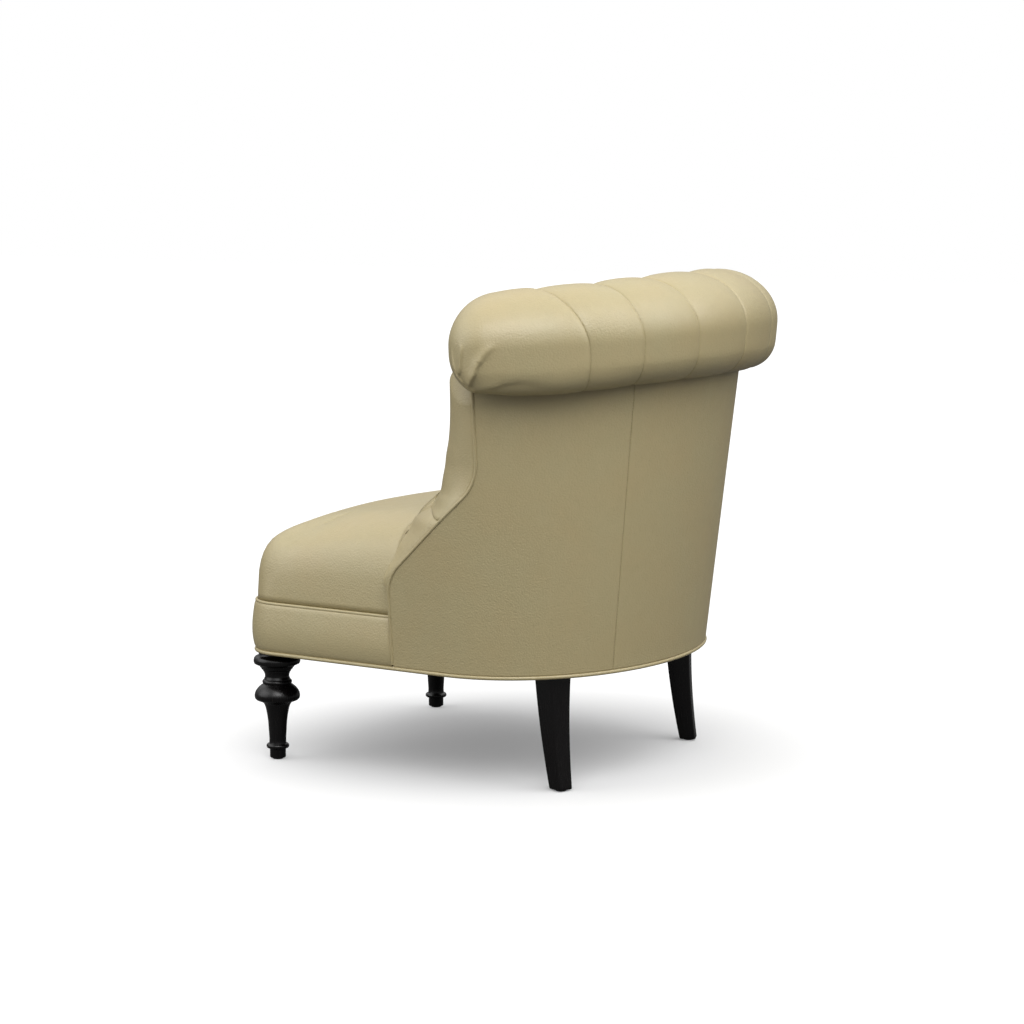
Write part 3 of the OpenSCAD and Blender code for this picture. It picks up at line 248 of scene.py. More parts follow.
class Shape:
    """The surfaces of the chair, in millimetres."""

    wing_s = 14.0  # ahead of this angle the top edge of the wall keeps one height
    welt_room = 1.5  # gap between the middle of the arm piping and the padding that starts at it
    least_corner_r = 8

    def __init__(self):
        d = self.d = sizes()
        self.front_y = -d.side_seam_d - 1  # the front half of the outline starts at the side seam
        self.low_z = d.skirt_z - 2  # lower edge of the covers, behind the base piping
        # Heights at which the lower bend of the swoop ends, the upper one starts and it runs upright again
        turn = 1 - cosd(d.swoop_slope)
        run = d.wing_d + d.side_seam_d - (d.swoop_low_r + d.swoop_high_r) * turn
        self.z1 = d.swoop_z + d.swoop_low_r * sind(d.swoop_slope)
        self.z2 = self.z1 + run / tand(d.swoop_slope)
        self.z3 = self.z2 + d.swoop_high_r * sind(d.swoop_slope)

    def wall(self, s, z, i=0.0):
        """Outside wall of the barrel at angle s and height z, i inside its surface. Ahead of both ends of
        the curve, at angles below 0 and over 180, it runs on straight along the sides."""
        d = self.d
        s, z, i = np.broadcast_arrays(np.asarray(s, float), np.asarray(z, float), np.asarray(i, float))
        m, side = np.where(s > 90, 180 - s, s), np.where(s > 90, -1.0, 1.0)
        a = d.base_half_w + (z - d.skirt_z) * tand(d.side_lean) - i
        b = d.base_rear_d + (z - d.skirt_z) * (tand(d.rear_lean) + tand(d.curve_lean)) - i
        c = -(z - d.skirt_z) * tand(d.curve_lean)
        run, mc, q = np.radians(m) * b, np.clip(m, 0, 90), 2 / d.plan_power
        x = np.where(m < 0, a + tand(d.side_taper) * run, a * np.clip(cosd(mc), 0, 1) ** q)
        y = np.where(m < 0, c + run, c + b * np.clip(sind(mc), 0, 1) ** q)
        return points(side * x, y, z)

    def wall_s(self, y, z, i=0.0):
        """Angle at which the wall stands over a given y."""
        d = self.d
        b = d.base_rear_d + (z - d.skirt_z) * (tand(d.rear_lean) + tand(d.curve_lean)) - i
        t = (y + (z - d.skirt_z) * tand(d.curve_lean)) / b
        return np.where(t < 0, np.degrees(t), np.degrees(np.arcsin(np.clip(t, 0, 1) ** (d.plan_power / 2))))

    def swoop(self, z):
        """y of the side seam at height z."""
        d = self.d
        z = np.asarray(z, float)
        start = -d.side_seam_d
        low = start + d.swoop_low_r - np.sqrt(np.maximum(d.swoop_low_r ** 2 - (z - d.swoop_z) ** 2, 0))
        line = start + d.swoop_low_r * (1 - cosd(d.swoop_slope)) + (z - self.z1) * tand(d.swoop_slope)
        high = d.wing_d - d.swoop_high_r + np.sqrt(np.maximum(d.swoop_high_r ** 2 - (self.z3 - z) ** 2, 0))
        return np.select([z <= d.swoop_z, z <= self.z1, z <= self.z2, z <= self.z3],
                         [start, low, line, high], d.wing_d)

    # Front half of the body outline

    def right_front(self, i, from_y, n=24):
        """Right half of the front outline, i inside it: the side, the corner and the bowed front."""
        d = self.d
        taper = d.side_taper
        corner_x = (d.base_half_w - tand(taper) * (d.front_d - d.corner_r + d.corner_r * sind(taper))
                    - d.corner_r * cosd(taper))
        r = np.maximum(d.corner_r - i, self.least_corner_r)
        cx, cy = corner_x + d.corner_r - i - r, i + r - d.front_d
        y = mix(from_y, cy - r * sind(taper), np.arange(n) / n)
        a = np.linspace(-taper, -90, n)
        x = cx * (1 - np.arange(1, n + 1) / n)
        return np.concatenate([
            np.stack([d.base_half_w - i + tand(taper) * y, y], 1),
            np.stack([cx + r * cosd(a), cy + r * sind(a)], 1),
            np.stack([x, i - d.front_d - d.front_bow * (1 - (x / cx) ** 2)], 1)])

    def front_path(self, i, from_y, n=24):
        """Front outline, i inside it, from the right side seam round to the left one."""
        half = self.right_front(i, from_y, n)
        return np.concatenate([half, half[-2::-1] * [-1, 1]])

    def outline(self, i, n=72):
        """Whole outline at the bottom of the walls."""
        d = self.d
        s = float(self.wall_s(-d.side_seam_d, d.skirt_z, i))
        rear = self.wall(np.linspace(180 - s, s, n + 1)[1:-1], d.skirt_z, i)[:, :2]
        return np.concatenate([self.front_path(i, -d.side_seam_d), rear])

    # Roll

    dome_tip = 0.02  # share of the roll's radius at the very tip of a domed end
    wall_meets = 0.9  # the wall meets the roll this share of its radius below its middle

    def roll_height(self, s):
        return self.d.roll_z - self.d.roll_drop * cosd(s) ** 2

    def roll_mid(self, s):
        d = self.d
        return points(d.roll_half_w * cosd(s), d.roll_d * sind(s) - d.roll_fwd, self.roll_height(s))

    def roll_out(self, s):
        """Level direction outward across the roll."""
        n = points(self.d.roll_d * cosd(s), self.d.roll_half_w * sind(s), 0)
        return n / np.linalg.norm(n, axis=-1, keepdims=True)

    def roll_rad(self, s):
        return self.d.roll_r - self.d.roll_slim * cosd(s) ** 2

    def dome_scale(self, s):
        """Share of the radius that the domed ends leave at angle s."""
        t = np.clip((np.minimum(s, 180 - s) - self.d.roll_end) / self.d.roll_dome, 0, 1)
        return np.sqrt(np.maximum(self.dome_tip ** 2, 1 - (1 - t) ** 2))

    def section(self, a):
        """Offsets outward and upward of the roll's section at angle a, for a radius of 1.
        The crest lies ahead of the middle, and the lower rear is fuller than a circle."""
        lean = self.d.roll_lean / self.d.roll_r
        c, v = cosd(a), sind(a)
        k = np.where((c > 0) & (v < 0), mix(1, 2 / self.d.roll_full, ease(-2.5 * v)), 1)
        h, w = np.sign(c) * np.abs(c) ** k, np.sign(v) * np.abs(v) ** k
        return h - lean * (1 - np.abs(c)) * ease(2 * v + 0.7), w

    def roll_point(self, s, a, r):
        """Point of the roll at angle s of the barrel and angle a of the section, for the radius r."""
        h, v = self.section(a)
        out = self.roll_out(s)
        return self.roll_mid(s) + (r * h)[..., None] * out + points(0, 0, r * v)

    def wall_off(self, s):
        """How far outward of the roll's middle the wall meets it."""
        z = self.roll_height(s) - self.wall_meets * self.roll_rad(s)
        return ((self.wall(s, z) - self.roll_mid(s)) * self.roll_out(s)).sum(-1)

    def wall_top(self, s):
        """Height at which the wall runs into the roll."""
        m = np.clip(s, self.wing_s, 180 - self.wing_s)
        r, full = self.roll_rad(m) * self.dome_scale(m), self.d.roll_full
        h = np.clip(self.wall_off(m) / r, 0, 1)
        return self.roll_height(m) - r * (1 - h ** full) ** (1 / full)

    def on_dome(self, p, sink=0.0):
        """The points moved to the domed end of the roll, sink below its surface."""
        s = np.array(self.d.roll_end + self.d.roll_dome)
        c, r, n, full = self.roll_mid(s), float(self.roll_rad(s)), self.roll_out(s), self.d.roll_full
        ahead = np.array([n[1], -n[0], 0])
        tip = np.linalg.norm(c - self.roll_mid(np.array(self.d.roll_end)))
        d = p - c
        h, v, w = d @ n / r, d[..., 2] / r, np.maximum(0, d @ ahead) / tip
        fuller = (np.abs(h) ** full + np.abs(v) ** full) ** (1 / full)
        across = np.where((h > 0) & (v < 0), fuller, np.hypot(h, v))
        return c + d * ((1 - sink / r) / np.hypot(w, across))[..., None]

    # Tufts and channels

    def seam_s(self, u):
        """Angle of channel seam u, 0 being the one at the centre back."""
        d = self.d
        return 90 + np.sign(u) * (d.channel_angle * np.abs(u) - d.channel_narrowing * np.square(u))

    def tuft_u(self, s):
        """Number, with its fraction, of the channel seam at angle s: the reverse of seam_s."""
        p, q = self.d.channel_angle, self.d.channel_narrowing
        root = np.sqrt(np.maximum(0, p * p - 4 * q * np.abs(s - 90)))
        return np.sign(s - 90) * (p - root) / (2 * q)

    # Most turn of the seams, in degrees, at the domed end, at seams 3, 2 and 1 and at the centre back
    seam_turns = [0, 12, 5.5, 4.5, 0]
    turn_from, turn_most, turn_to = -18, 100, 200  # angles of the section between which they turn

    def seam_turn(self, s, a):
        """How far, in degrees, the channel seams turn to the ends over the crest."""
        m = np.minimum(s, 180 - s)
        places = [self.d.roll_end + self.d.roll_dome, *self.seam_s(np.array([-3.0, -2.0, -1.0])), 90]
        most = np.interp(m, places, self.seam_turns)
        rising = np.clip((a - self.turn_from) / (self.turn_most - self.turn_from), 0, 1) ** 1.7
        falling = 1 - ease((a - self.turn_most) / (self.turn_to - self.turn_most))
        return np.sign(90 - s) * most * np.where(a < self.turn_most, rising, falling)

    # Wing section: at each height, how far it stands ahead of the piping, its bulge and its thickness

    nose_table = np.array([
        [305, 2, 3, 22], [330, 13, 13, 24], [352, 24, 10, 30], [370, 36, 11, 38], [385, 47, 15, 48],
        [411, 66, 20, 74], [430, 76, 26, 88], [449, 70, 22, 88], [470, 58, 38, 88],
        [497, 48, 56, 88], [524, 42, 60, 88], [560, 38, 54, 88], [690, 34, 47, 88]], float)

    def nose(self, z, b, t=0.0):
        """Point at angle b, 0 at the piping and 180 inside, of the wing section at height z."""
        ahead, bulge, thick = (through(z, self.nose_table[:, 0], self.nose_table[:, k]) for k in (1, 2, 3))
        p = self.wall(self.wall_s(self.swoop(z) - self.welt_room, z), z)
        half = thick / 2
        x = p[..., 0] - half + (half - t) * cosd(b)
        y = (p[..., 1] - (bulge - self.welt_room - t) * sind(b)
             - (ahead - self.welt_room) * (1 - cosd(b)) / 2)
        return points(x, y, z)

    # Height of the crease between arm band and wing: at the piping, over the arm and at the seat
    crease_out_z, crease_top_z, crease_in_z = 434, 447, 402
    crease_top_b = 110  # angle of the wing section at which the crease is highest
    crease_fade_b, crease_fade = 120, 45  # where the edges stop turning in, and over how many degrees

    def crease(self, b):
        """Height of the crease at angle b of the wing section."""
        outer = mix(self.crease_out_z, self.crease_top_z, ease(b / self.crease_top_b))
        return mix(outer, self.crease_in_z, ease((b - self.crease_top_b) / (180 - self.crease_top_b)))

    def turning_in(self, b):
        """How much of their full depth the edges turn into the crease at angle b."""
        return 1 - ease((b - self.crease_fade_b) / self.crease_fade)

    # Seat

    seat_in = 5  # the seat lies this far inside the outline of the body
    seat_over_welt = 3  # and its rounded edge starts this far over the middle of its piping
    arm_room = 4  # between the padding of the back and the seat
    arm_front_y = -92.0  # the seat is as narrow as between the arms behind this place
    rear_from = -12  # angle along the barrel at which the rear of the seat starts
    side_run = 50  # length over which the rounded side edge runs out beside the arms
    crown_front_y, crown_run = -60, 270  # where the crown starts to fall to the front, and its length
    side_fall, side_fall_x = 10, 250  # loss of the crown at this distance from the middle

    def seat_plan(self, i):
        """Outline of the seat, i inside the outline of the body."""
        d = self.d
        arm_in, z = d.back_t + self.arm_room + i - self.seat_in, d.seat_welt_z + d.seat_rise
        front = self.right_front(i, self.front_y)
        x_in = d.base_half_w + (z - d.skirt_z) * tand(d.side_lean) - arm_in
        rear = self.wall(np.linspace(self.rear_from, 90, 60), z, arm_in)[:, :2]
        t = np.linspace(0, 1, 13)[1:, None]
        step = mix(front[0], np.array([x_in, self.arm_front_y]), t)
        half = np.concatenate([rear[::-1], step[::-1], front])
        return np.concatenate([half[:-1], half[::-1][:-1] * [-1, 1]])

    def seat_height(self, x, y):
        """Height of the seat's cover over the floor."""
        d = self.d
        notch = d.side_seam_d + d.welt_r + 1
        side = (d.base_half_w - self.seat_in + tand(d.side_taper) * np.minimum(y, 0) - np.abs(x)
                + d.seat_edge * ease((y + notch) / self.side_run))
        front = y + d.front_d - self.seat_in + d.front_bow * (1 - (x / d.base_half_w) ** 2)
        u, v = np.clip(1 - side / d.seat_edge, 0, 1), np.clip(1 - front / d.seat_edge, 0, 1)
        # The corner's own power brings the edge down just on the rounded corner of the plan
        corner_in = (1 - math.sqrt(0.5)) * (d.corner_r - self.seat_in)
        corner = math.log(2) / -math.log(1 - corner_in / d.seat_edge)
        near = (u ** corner + v ** corner) ** (1 / corner)
        q = np.maximum(0, 1 - near ** d.seat_full) ** (1 / d.seat_full)
        forward = np.clip((self.crown_front_y - y) / self.crown_run, 0, 1)
        crown = d.seat_crown * (1 - forward ** 2) - self.side_fall * (x / self.side_fall_x) ** 2
        return d.seat_welt_z + self.seat_over_welt + (d.seat_rise + crown) * q


# Meshes and pieces

def seated(p):
    """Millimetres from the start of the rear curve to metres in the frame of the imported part."""
    return (np.asarray(p, float) + [0, REAR_CURVE_Y, 0]) * MM


def mesh_of(name, co, faces, sharp=180):
    """Smooth mesh with edges kept sharp where it turns by more than the angle."""
    mesh = bpy.data.meshes.new(name)
    mesh.from_pydata(co.tolist(), [], [list(f) for f in faces])
    mesh.validate()
    mesh.shade_smooth()
    if sharp < 180:
        mesh.set_sharp_from_angle(angle=math.radians(sharp))
    return mesh


def grid_faces(rows, cols, base=0, wrap=False):
    """Four-sided faces between the points of a grid, whose first point has the number base."""
    i, j = np.meshgrid(np.arange(rows - 1), np.arange(cols if wrap else cols - 1), indexing="ij")
    p = base + i * cols + j
    q = base + i * cols + (j + 1) % cols
    return np.stack([p, q, q + cols, p + cols], -1).reshape(-1, 4)


def volume(co, faces):
    """Six times the volume inside the faces, below 0 where they point inwards."""
    total = 0.0
    for f in (faces[:, [0, 1, 2]], faces[:, [0, 2, 3]]):
        total += np.einsum("ij,ij->", co[f[:, 0]], np.cross(co[f[:, 1]], co[f[:, 2]]))
    return total


def walled(name, front, back):
    """Closed wall between a grid of points and the same grid on its other side."""
    rows, cols = front.shape[:2]
    n = rows * cols
    rim = np.concatenate([np.arange(cols), np.arange(1, rows) * cols + cols - 1,
                          (rows - 1) * cols + np.arange(cols - 2, -1, -1), np.arange(rows - 2, 0, -1) * cols])
    nxt = np.roll(rim, -1)
    faces = np.concatenate([grid_faces(rows, cols), grid_faces(rows, cols, n)[:, ::-1],
                            np.stack([nxt, rim, rim + n, nxt + n], -1)])
    co = seated(np.concatenate([front.reshape(-1, 3), back.reshape(-1, 3)]))
    return mesh_of(name, co, faces if volume(co, faces) > 0 else faces[:, ::-1])


def tube(name, rings, sharp=180):
    """Closed body through rings with as many points each, the first and last ring fanned shut."""
    m, n = rings.shape[:2]
    co = seated(np.concatenate([rings.reshape(-1, 3), rings[:1].mean(1), rings[-1:].mean(1)]))
    j = np.arange(n)
    k = (j + 1) % n
    last = (m - 1) * n
    first_fan = np.stack([np.full(n, m * n), k, j, j], -1)
    last_fan = np.stack([np.full(n, m * n + 1), last + j, last + k, last + k], -1)
    faces = np.concatenate([grid_faces(m, n, wrap=True), first_fan, last_fan])
    if volume(co, faces) < 0:
        faces = faces[:, ::-1]
    trimmed = [list(dict.fromkeys(f)) for f in faces.tolist()]
    return mesh_of(name, co, trimmed, sharp)


def fresh_object(name, data):
    made = bpy.data.objects.new(name, data)
    bpy.context.scene.collection.objects.link(made)
    return made


def finish_piece(piece, material, stands_for=()):
    """Gives the piece its finish and its place on the chair."""
    piece.data.materials.clear()
    piece.data.materials.append(material)
    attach(piece, "root")
    if stands_for:
        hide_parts(*stands_for)
    return piece


def mark(piece, crease):
    """Keeps how deep in a crease each front point lies, for painted shade to darken the leather there."""
    values = np.zeros(len(piece.data.vertices), np.float32)
    values[:crease.size] = crease.ravel()
    piece.data.attributes.new("crease", "FLOAT", "POINT").data.foreach_set("value", values)


def drop(piece):
    """Deletes the piece with its mesh."""
    mesh = piece.data
    bpy.data.objects.remove(piece)
    bpy.data.meshes.remove(mesh)


def plain_mesh(piece):
    """The mesh that the piece's modifiers make, which are then removed."""
    bpy.context.view_layer.update()
    shown = piece.evaluated_get(bpy.context.evaluated_depsgraph_get())
    mesh = bpy.data.meshes.new_from_object(shown)
    piece.modifiers.clear()
    return mesh


def baked(name, source, tree, values):
    """The plain mesh that the node tree makes of the source, as a new object."""
    modifier = source.modifiers.new("nodes", "NODES")
    modifier.node_group = tree
    for item in tree.interface.items_tree:
        if item.item_type == "SOCKET" and item.in_out == "INPUT" and item.name in values:
            modifier[item.identifier] = values[item.name]
    mesh = plain_mesh(source)
    drop(source)
    mesh.name = name
    return fresh_object(name, mesh)


def cut(piece, cutters):
    """The piece less the cutters, which are deleted."""
    for cutter in cutters:
        taken = piece.modifiers.new("cut", "BOOLEAN")
        taken.object, taken.solver, taken.operation = cutter, "EXACT", "DIFFERENCE"
    mesh, name = plain_mesh(piece), piece.name
    for spent in (piece, *cutters):
        drop(spent)
    return fresh_object(name, mesh)


def path_object(name, path, closed=False):
    """Edges along the path, for a node tree to work on."""
    co = seated(path)
    edges = [(k, k + 1) for k in range(len(co) - 1)] + ([(len(co) - 1, 0)] if closed else [])
    mesh = bpy.data.meshes.new(name)
    mesh.from_pydata(co.tolist(), edges, [])
    return fresh_object(name, mesh)


# Node trees

def add(tree, kind, sockets=None, **settings):
    """Adds a node. Settings are its own values; sockets are its inputs, as values or as links."""
    made = tree.nodes.new(kind)
    for key, value in settings.items():
        setattr(made, key, value)
    for key, value in (sockets or {}).items():
        if isinstance(value, bpy.types.NodeSocket):
            tree.links.new(value, made.inputs[key])
        else:
            made.inputs[key].default_value = value
    return made


def shape_tree(name, inputs):
    """Empty geometry tree with a mesh going in and out and the named inputs."""
    tree = bpy.data.node_groups.new(name, "GeometryNodeTree")
    tree.interface.new_socket("Path", in_out="INPUT", socket_type="NodeSocketGeometry")
    for key, kind in inputs.items():
        tree.interface.new_socket(key, in_out="INPUT", socket_type="NodeSocket" + kind)
    tree.interface.new_socket("Mesh", in_out="OUTPUT", socket_type="NodeSocketGeometry")
    return tree, add(tree, "NodeGroupInput"), add(tree, "NodeGroupOutput")


def end_tree(tree, given, out, geometry):
    """Realizes what the tree made, gives it its material and sends it out."""
    real = add(tree, "GeometryNodeRealizeInstances", {0: geometry})
    smooth = add(tree, "GeometryNodeSetShadeSmooth", {"Geometry": real.outputs[0]})
    finish = add(tree, "GeometryNodeSetMaterial",
                 {"Geometry": smooth.outputs[0], "Material": given.outputs["Material"]})
    tree.links.new(finish.outputs[0], out.inputs[0])
    return tree


def set_along(tree, spots, solid, facing, width, height):
    """The solid at each spot, turned to face along the facing, and scaled."""
    turn = add(tree, "FunctionNodeAlignRotationToVector", {"Vector": facing}, axis="Z")
    size = add(tree, "ShaderNodeCombineXYZ", {"X": width, "Y": width, "Z": height})
    each = add(tree, "GeometryNodeInstanceOnPoints",
               {"Points": spots, "Instance": solid, "Rotation": turn.outputs[0], "Scale": size.outputs[0]})
    return each.outputs[0]


def piping_tree():
    """Round cord swept along the path."""
    tree, given, out = shape_tree("piping", {"Radius": "Float", "Sides": "Int", "Material": "Material"})
    curve = add(tree, "GeometryNodeMeshToCurve", {"Mesh": given.outputs["Path"]})
    ring = add(tree, "GeometryNodeCurvePrimitiveCircle",
               {"Resolution": given.outputs["Sides"], "Radius": given.outputs["Radius"]})
    swept = add(tree, "GeometryNodeCurveToMesh",
                {"Curve": curve.outputs[0], "Profile Curve": ring.outputs[0], "Fill Caps": True})
    return end_tree(tree, given, out, swept.outputs[0])


def stitch_tree():
    """Short rounded lengths of thread or wire along the path, one at each step of the spacing."""
    tree, given, out = shape_tree("stitches", {"Spacing": "Float", "Length": "Float", "Thickness": "Float",
                                               "Material": "Material"})
    curve = add(tree, "GeometryNodeMeshToCurve", {"Mesh": given.outputs["Path"]})
    steps = add(tree, "GeometryNodeResampleCurve",
                {"Curve": curve.outputs[0], "Length": given.outputs["Spacing"]}, mode="LENGTH")
    tangent = add(tree, "GeometryNodeInputTangent")
    thread = add(tree, "GeometryNodeMeshUVSphere", {"Segments": 6, "Rings": 4, "Radius": 0.5})
    each = set_along(tree, steps.outputs[0], thread.outputs[0], tangent.outputs[0],
                     given.outputs["Thickness"], given.outputs["Length"])
    return end_tree(tree, given, out, each)


def button_tree():
    """Covered button on each point, facing along the point's own direction."""
    tree, given, out = shape_tree("buttons", {"Diameter": "Float", "Rise": "Float", "Material": "Material"})
    facing = add(tree, "GeometryNodeInputNamedAttribute", {"Name": "facing"}, data_type="FLOAT_VECTOR")
    cover = add(tree, "GeometryNodeMeshUVSphere", {"Segments": 24, "Rings": 12, "Radius": 0.5})
    each = set_along(tree, given.outputs["Path"], cover.outputs[0], facing.outputs[0],
                     given.outputs["Diameter"], given.outputs["Rise"])
    return end_tree(tree, given, out, each)


def pipe(name, path, radius, sides, closed=False):
    """Leather cord along the path."""
    tree = bpy.data.node_groups.get("piping") or piping_tree()
    return baked(name, path_object(name + "_path", path, closed), tree,
                 {"Radius": radius * MM, "Sides": int(sides), "Material": leather()})


def stitched(name, path, gap, long, thick, material, closed=False):
    """Stitches or staples along the path."""
    tree = bpy.data.node_groups.get("stitches") or stitch_tree()
    return baked(name, path_object(name + "_path", path, closed), tree,
                 {"Spacing": gap * MM, "Length": long * MM, "Thickness": thick * MM, "Material": material})


# Materials

def finish_tree(name):
    """New material with its tree, its shader and the place of each point."""
    made = bpy.data.materials.new(name)
    made.use_nodes = True
    tree = made.node_tree
    tree.nodes.clear()
    shader = add(tree, "ShaderNodeBsdfPrincipled")
    add(tree, "ShaderNodeOutputMaterial", {"Surface": shader.outputs[0]})
    place = add(tree, "ShaderNodeTexCoord").outputs["Object"]
    return made, tree, shader, place


def noise(tree, place, mm, detail=2.0, rough=0.5, stretch=None):
    """Noise whose blobs are about mm wide; stretch draws them out along an axis."""
    if stretch:
        place = add(tree, "ShaderNodeMapping", {"Vector": place, "Scale": stretch}).outputs[0]
    return add(tree, "ShaderNodeTexNoise", {"Vector": place, "Scale": 1000 / mm, "Detail": detail,
                                            "Roughness": rough}).outputs["Fac"]


def between(tree, value, low, high, spread=(0.3, 0.7)):
    """The value brought from its spread, noise's usual one if none is given, to low and high."""
    return add(tree, "ShaderNodeMapRange",
               {0: value, 1: spread[0], 2: spread[1], 3: low, 4: high}).outputs[0]


def two_tones(tree, share, low, high):
    """Colour that runs from low to high with the share. Sockets 6 and 7 are the mixed colours."""
    return add(tree, "ShaderNodeMix", {"Factor": share, 6: low, 7: high}, data_type="RGBA").outputs[2]


def leather():
    """Top-grain upholstery leather, drum dyed, lightly embossed and finished with a soft wax: fine pebbles
    that break up the sheen, faint mottling where the dye took unevenly, and painted shade in creases."""
    if "top_grain_leather" in bpy.data.materials:
        return bpy.data.materials["top_grain_leather"]
    made, tree, shader, place = finish_tree("top_grain_leather")
    red, green, blue = bpy.context.scene.chair_trim.leather
    # Dye clouds about 90 mm wide that lean to brown or to green, and flecks of 14 mm
    hue = two_tones(tree, between(tree, noise(tree, place, 90, 3), 0, 1),
                    (red * 1.01, green * 0.99, blue * 0.98, 1), (red * 0.99, green * 1.005, blue * 1.02, 1))
    flecks = between(tree, noise(tree, place, 14, 3, 0.6), 0.98, 1.015)
    # Real pebbles are about 1 mm, and are drawn coarser here so that they show from across a room
    pebble_mm = 2.8
    pebble = add(tree, "ShaderNodeTexVoronoi",
                 {"Vector": place, "Scale": 1000 / pebble_mm, "Smoothness": 0.6},
                 feature="SMOOTH_F1").outputs["Distance"]
    grain = between(tree, noise(tree, place, pebble_mm, 3, 0.6), -0.25, 0.25)
    relief = add(tree, "ShaderNodeMath", {0: pebble, 1: grain}, operation="SUBTRACT").outputs[0]
    # Valleys between the pebbles are 3 % darker, and painted shade darkens creases up to 10 %
    valley = between(tree, pebble, 1.0, 0.97, (0.2, 0.75))
    shade = add(tree, "ShaderNodeMath", {0: flecks, 1: valley}, operation="MULTIPLY").outputs[0]
    # Painted shade: the crease attribute darkens the leather in seams and creases
    crease = add(tree, "ShaderNodeAttribute", attribute_name="crease").outputs["Fac"]
    crease_shade = between(tree, crease, 1.0, 0.9, (0, 1))
    dark = add(tree, "ShaderNodeMath", {0: shade, 1: crease_shade}, operation="MULTIPLY").outputs[0]
    base = add(tree, "ShaderNodeVectorMath", {0: hue, "Scale": dark}, operation="SCALE").outputs[0]
    tree.links.new(base, shader.inputs["Base Color"])
    tree.links.new(between(tree, noise(tree, place, 30, 3), 0.37, 0.46), shader.inputs["Roughness"])
    bump = add(tree, "ShaderNodeBump", {"Height": relief, "Strength": 0.5, "Distance": 0.6 * MM}, invert=True)
    tree.links.new(bump.outputs[0], shader.inputs["Normal"])
    shader.inputs["IOR"].default_value = 1.75
    return made


def grained_finish(name, low, high, rough, mm, stretch=None, relief_mm=0.2, strength=0.4, metallic=0.0):
    """Two tones and two roughnesses mixed by noise of a real size, with a matching relief."""
    if name in bpy.data.materials:
        return bpy.data.materials[name]
    made, tree, shader, place = finish_tree(name)
    pattern = noise(tree, place, mm, 4, 0.6, stretch)
    tree.links.new(two_tones(tree, between(tree, pattern, 0, 1), low, high), shader.inputs["Base Color"])
    tree.links.new(between(tree, pattern, *rough), shader.inputs["Roughness"])
    bump = add(tree, "ShaderNodeBump",
               {"Height": pattern, "Strength": strength, "Distance": relief_mm * MM})
    tree.links.new(bump.outputs[0], shader.inputs["Normal"])
    shader.inputs["Metallic"].default_value = metallic
    return made


def black_lacquer():
    """Oak with a black stain and a satin lacquer: the open grain, 1.4 mm apart and drawn out along the
    leg, shows as fine upright grooves that catch the light, and the lacquer gives a clear highlight."""
    tone = Vector(bpy.context.scene.chair_trim.black)
    return grained_finish("black_stained_oak", (*tone, 1), (*(tone * 3), 1), (0.17, 0.30), 1.4,
                          stretch=(1, 1, 0.05), relief_mm=0.5, strength=0.5)


def beech():
    """Sawn and sanded beech, unfinished: pale pinkish tan with short darker flecks along the grain."""
    return grained_finish("sanded_beech", linear("#c39c6a"), linear("#d8b98c"), (0.57, 0.67), 5,
                          stretch=(1, 1, 0.15), relief_mm=0.1)


def jute():
    """Woven jute webbing: coarse straw-coloured threads."""
    return grained_finish("jute_webbing", linear("#9b7f4c"), linear("#c0a470"), (0.83, 0.93), 2,
                          stretch=(1, 0.3, 1), relief_mm=0.5)


def dust_cloth():
    """Spun-bonded black dust cloth: thin felted fibres, dull and slightly grey."""
    return grained_finish("spun_bonded_cloth", linear("#1d1c1b"), linear("#2e2d2b"), (0.85, 0.95), 1.2,
                          relief_mm=0.3)


def zinc():
    """Zinc-plated steel: pale grey with a cloudy dull shine."""
    return grained_finish("zinc_plated_steel", linear("#9aa0a6"), linear("#c3c7c9"), (0.33, 0.43), 12,
                          relief_mm=0.05, metallic=1.0)


def nylon():
    """Moulded black nylon: even and slightly glossy."""
    return grained_finish("moulded_nylon", linear("#1a1a1a"), linear("#232323"), (0.40, 0.50), 3,
                          relief_mm=0.05)


def thread():
    """Bonded polyester thread in the leather's colour: darker than the hide, with a light twist."""
    return grained_finish("sewing_thread", linear("#7d7150"), linear("#92855f"), (0.55, 0.65), 0.6,
                          relief_mm=0.1)


# Steps

class ChairStep:
    """What all steps have in common"""
    bl_options = {"REGISTER", "UNDO"}


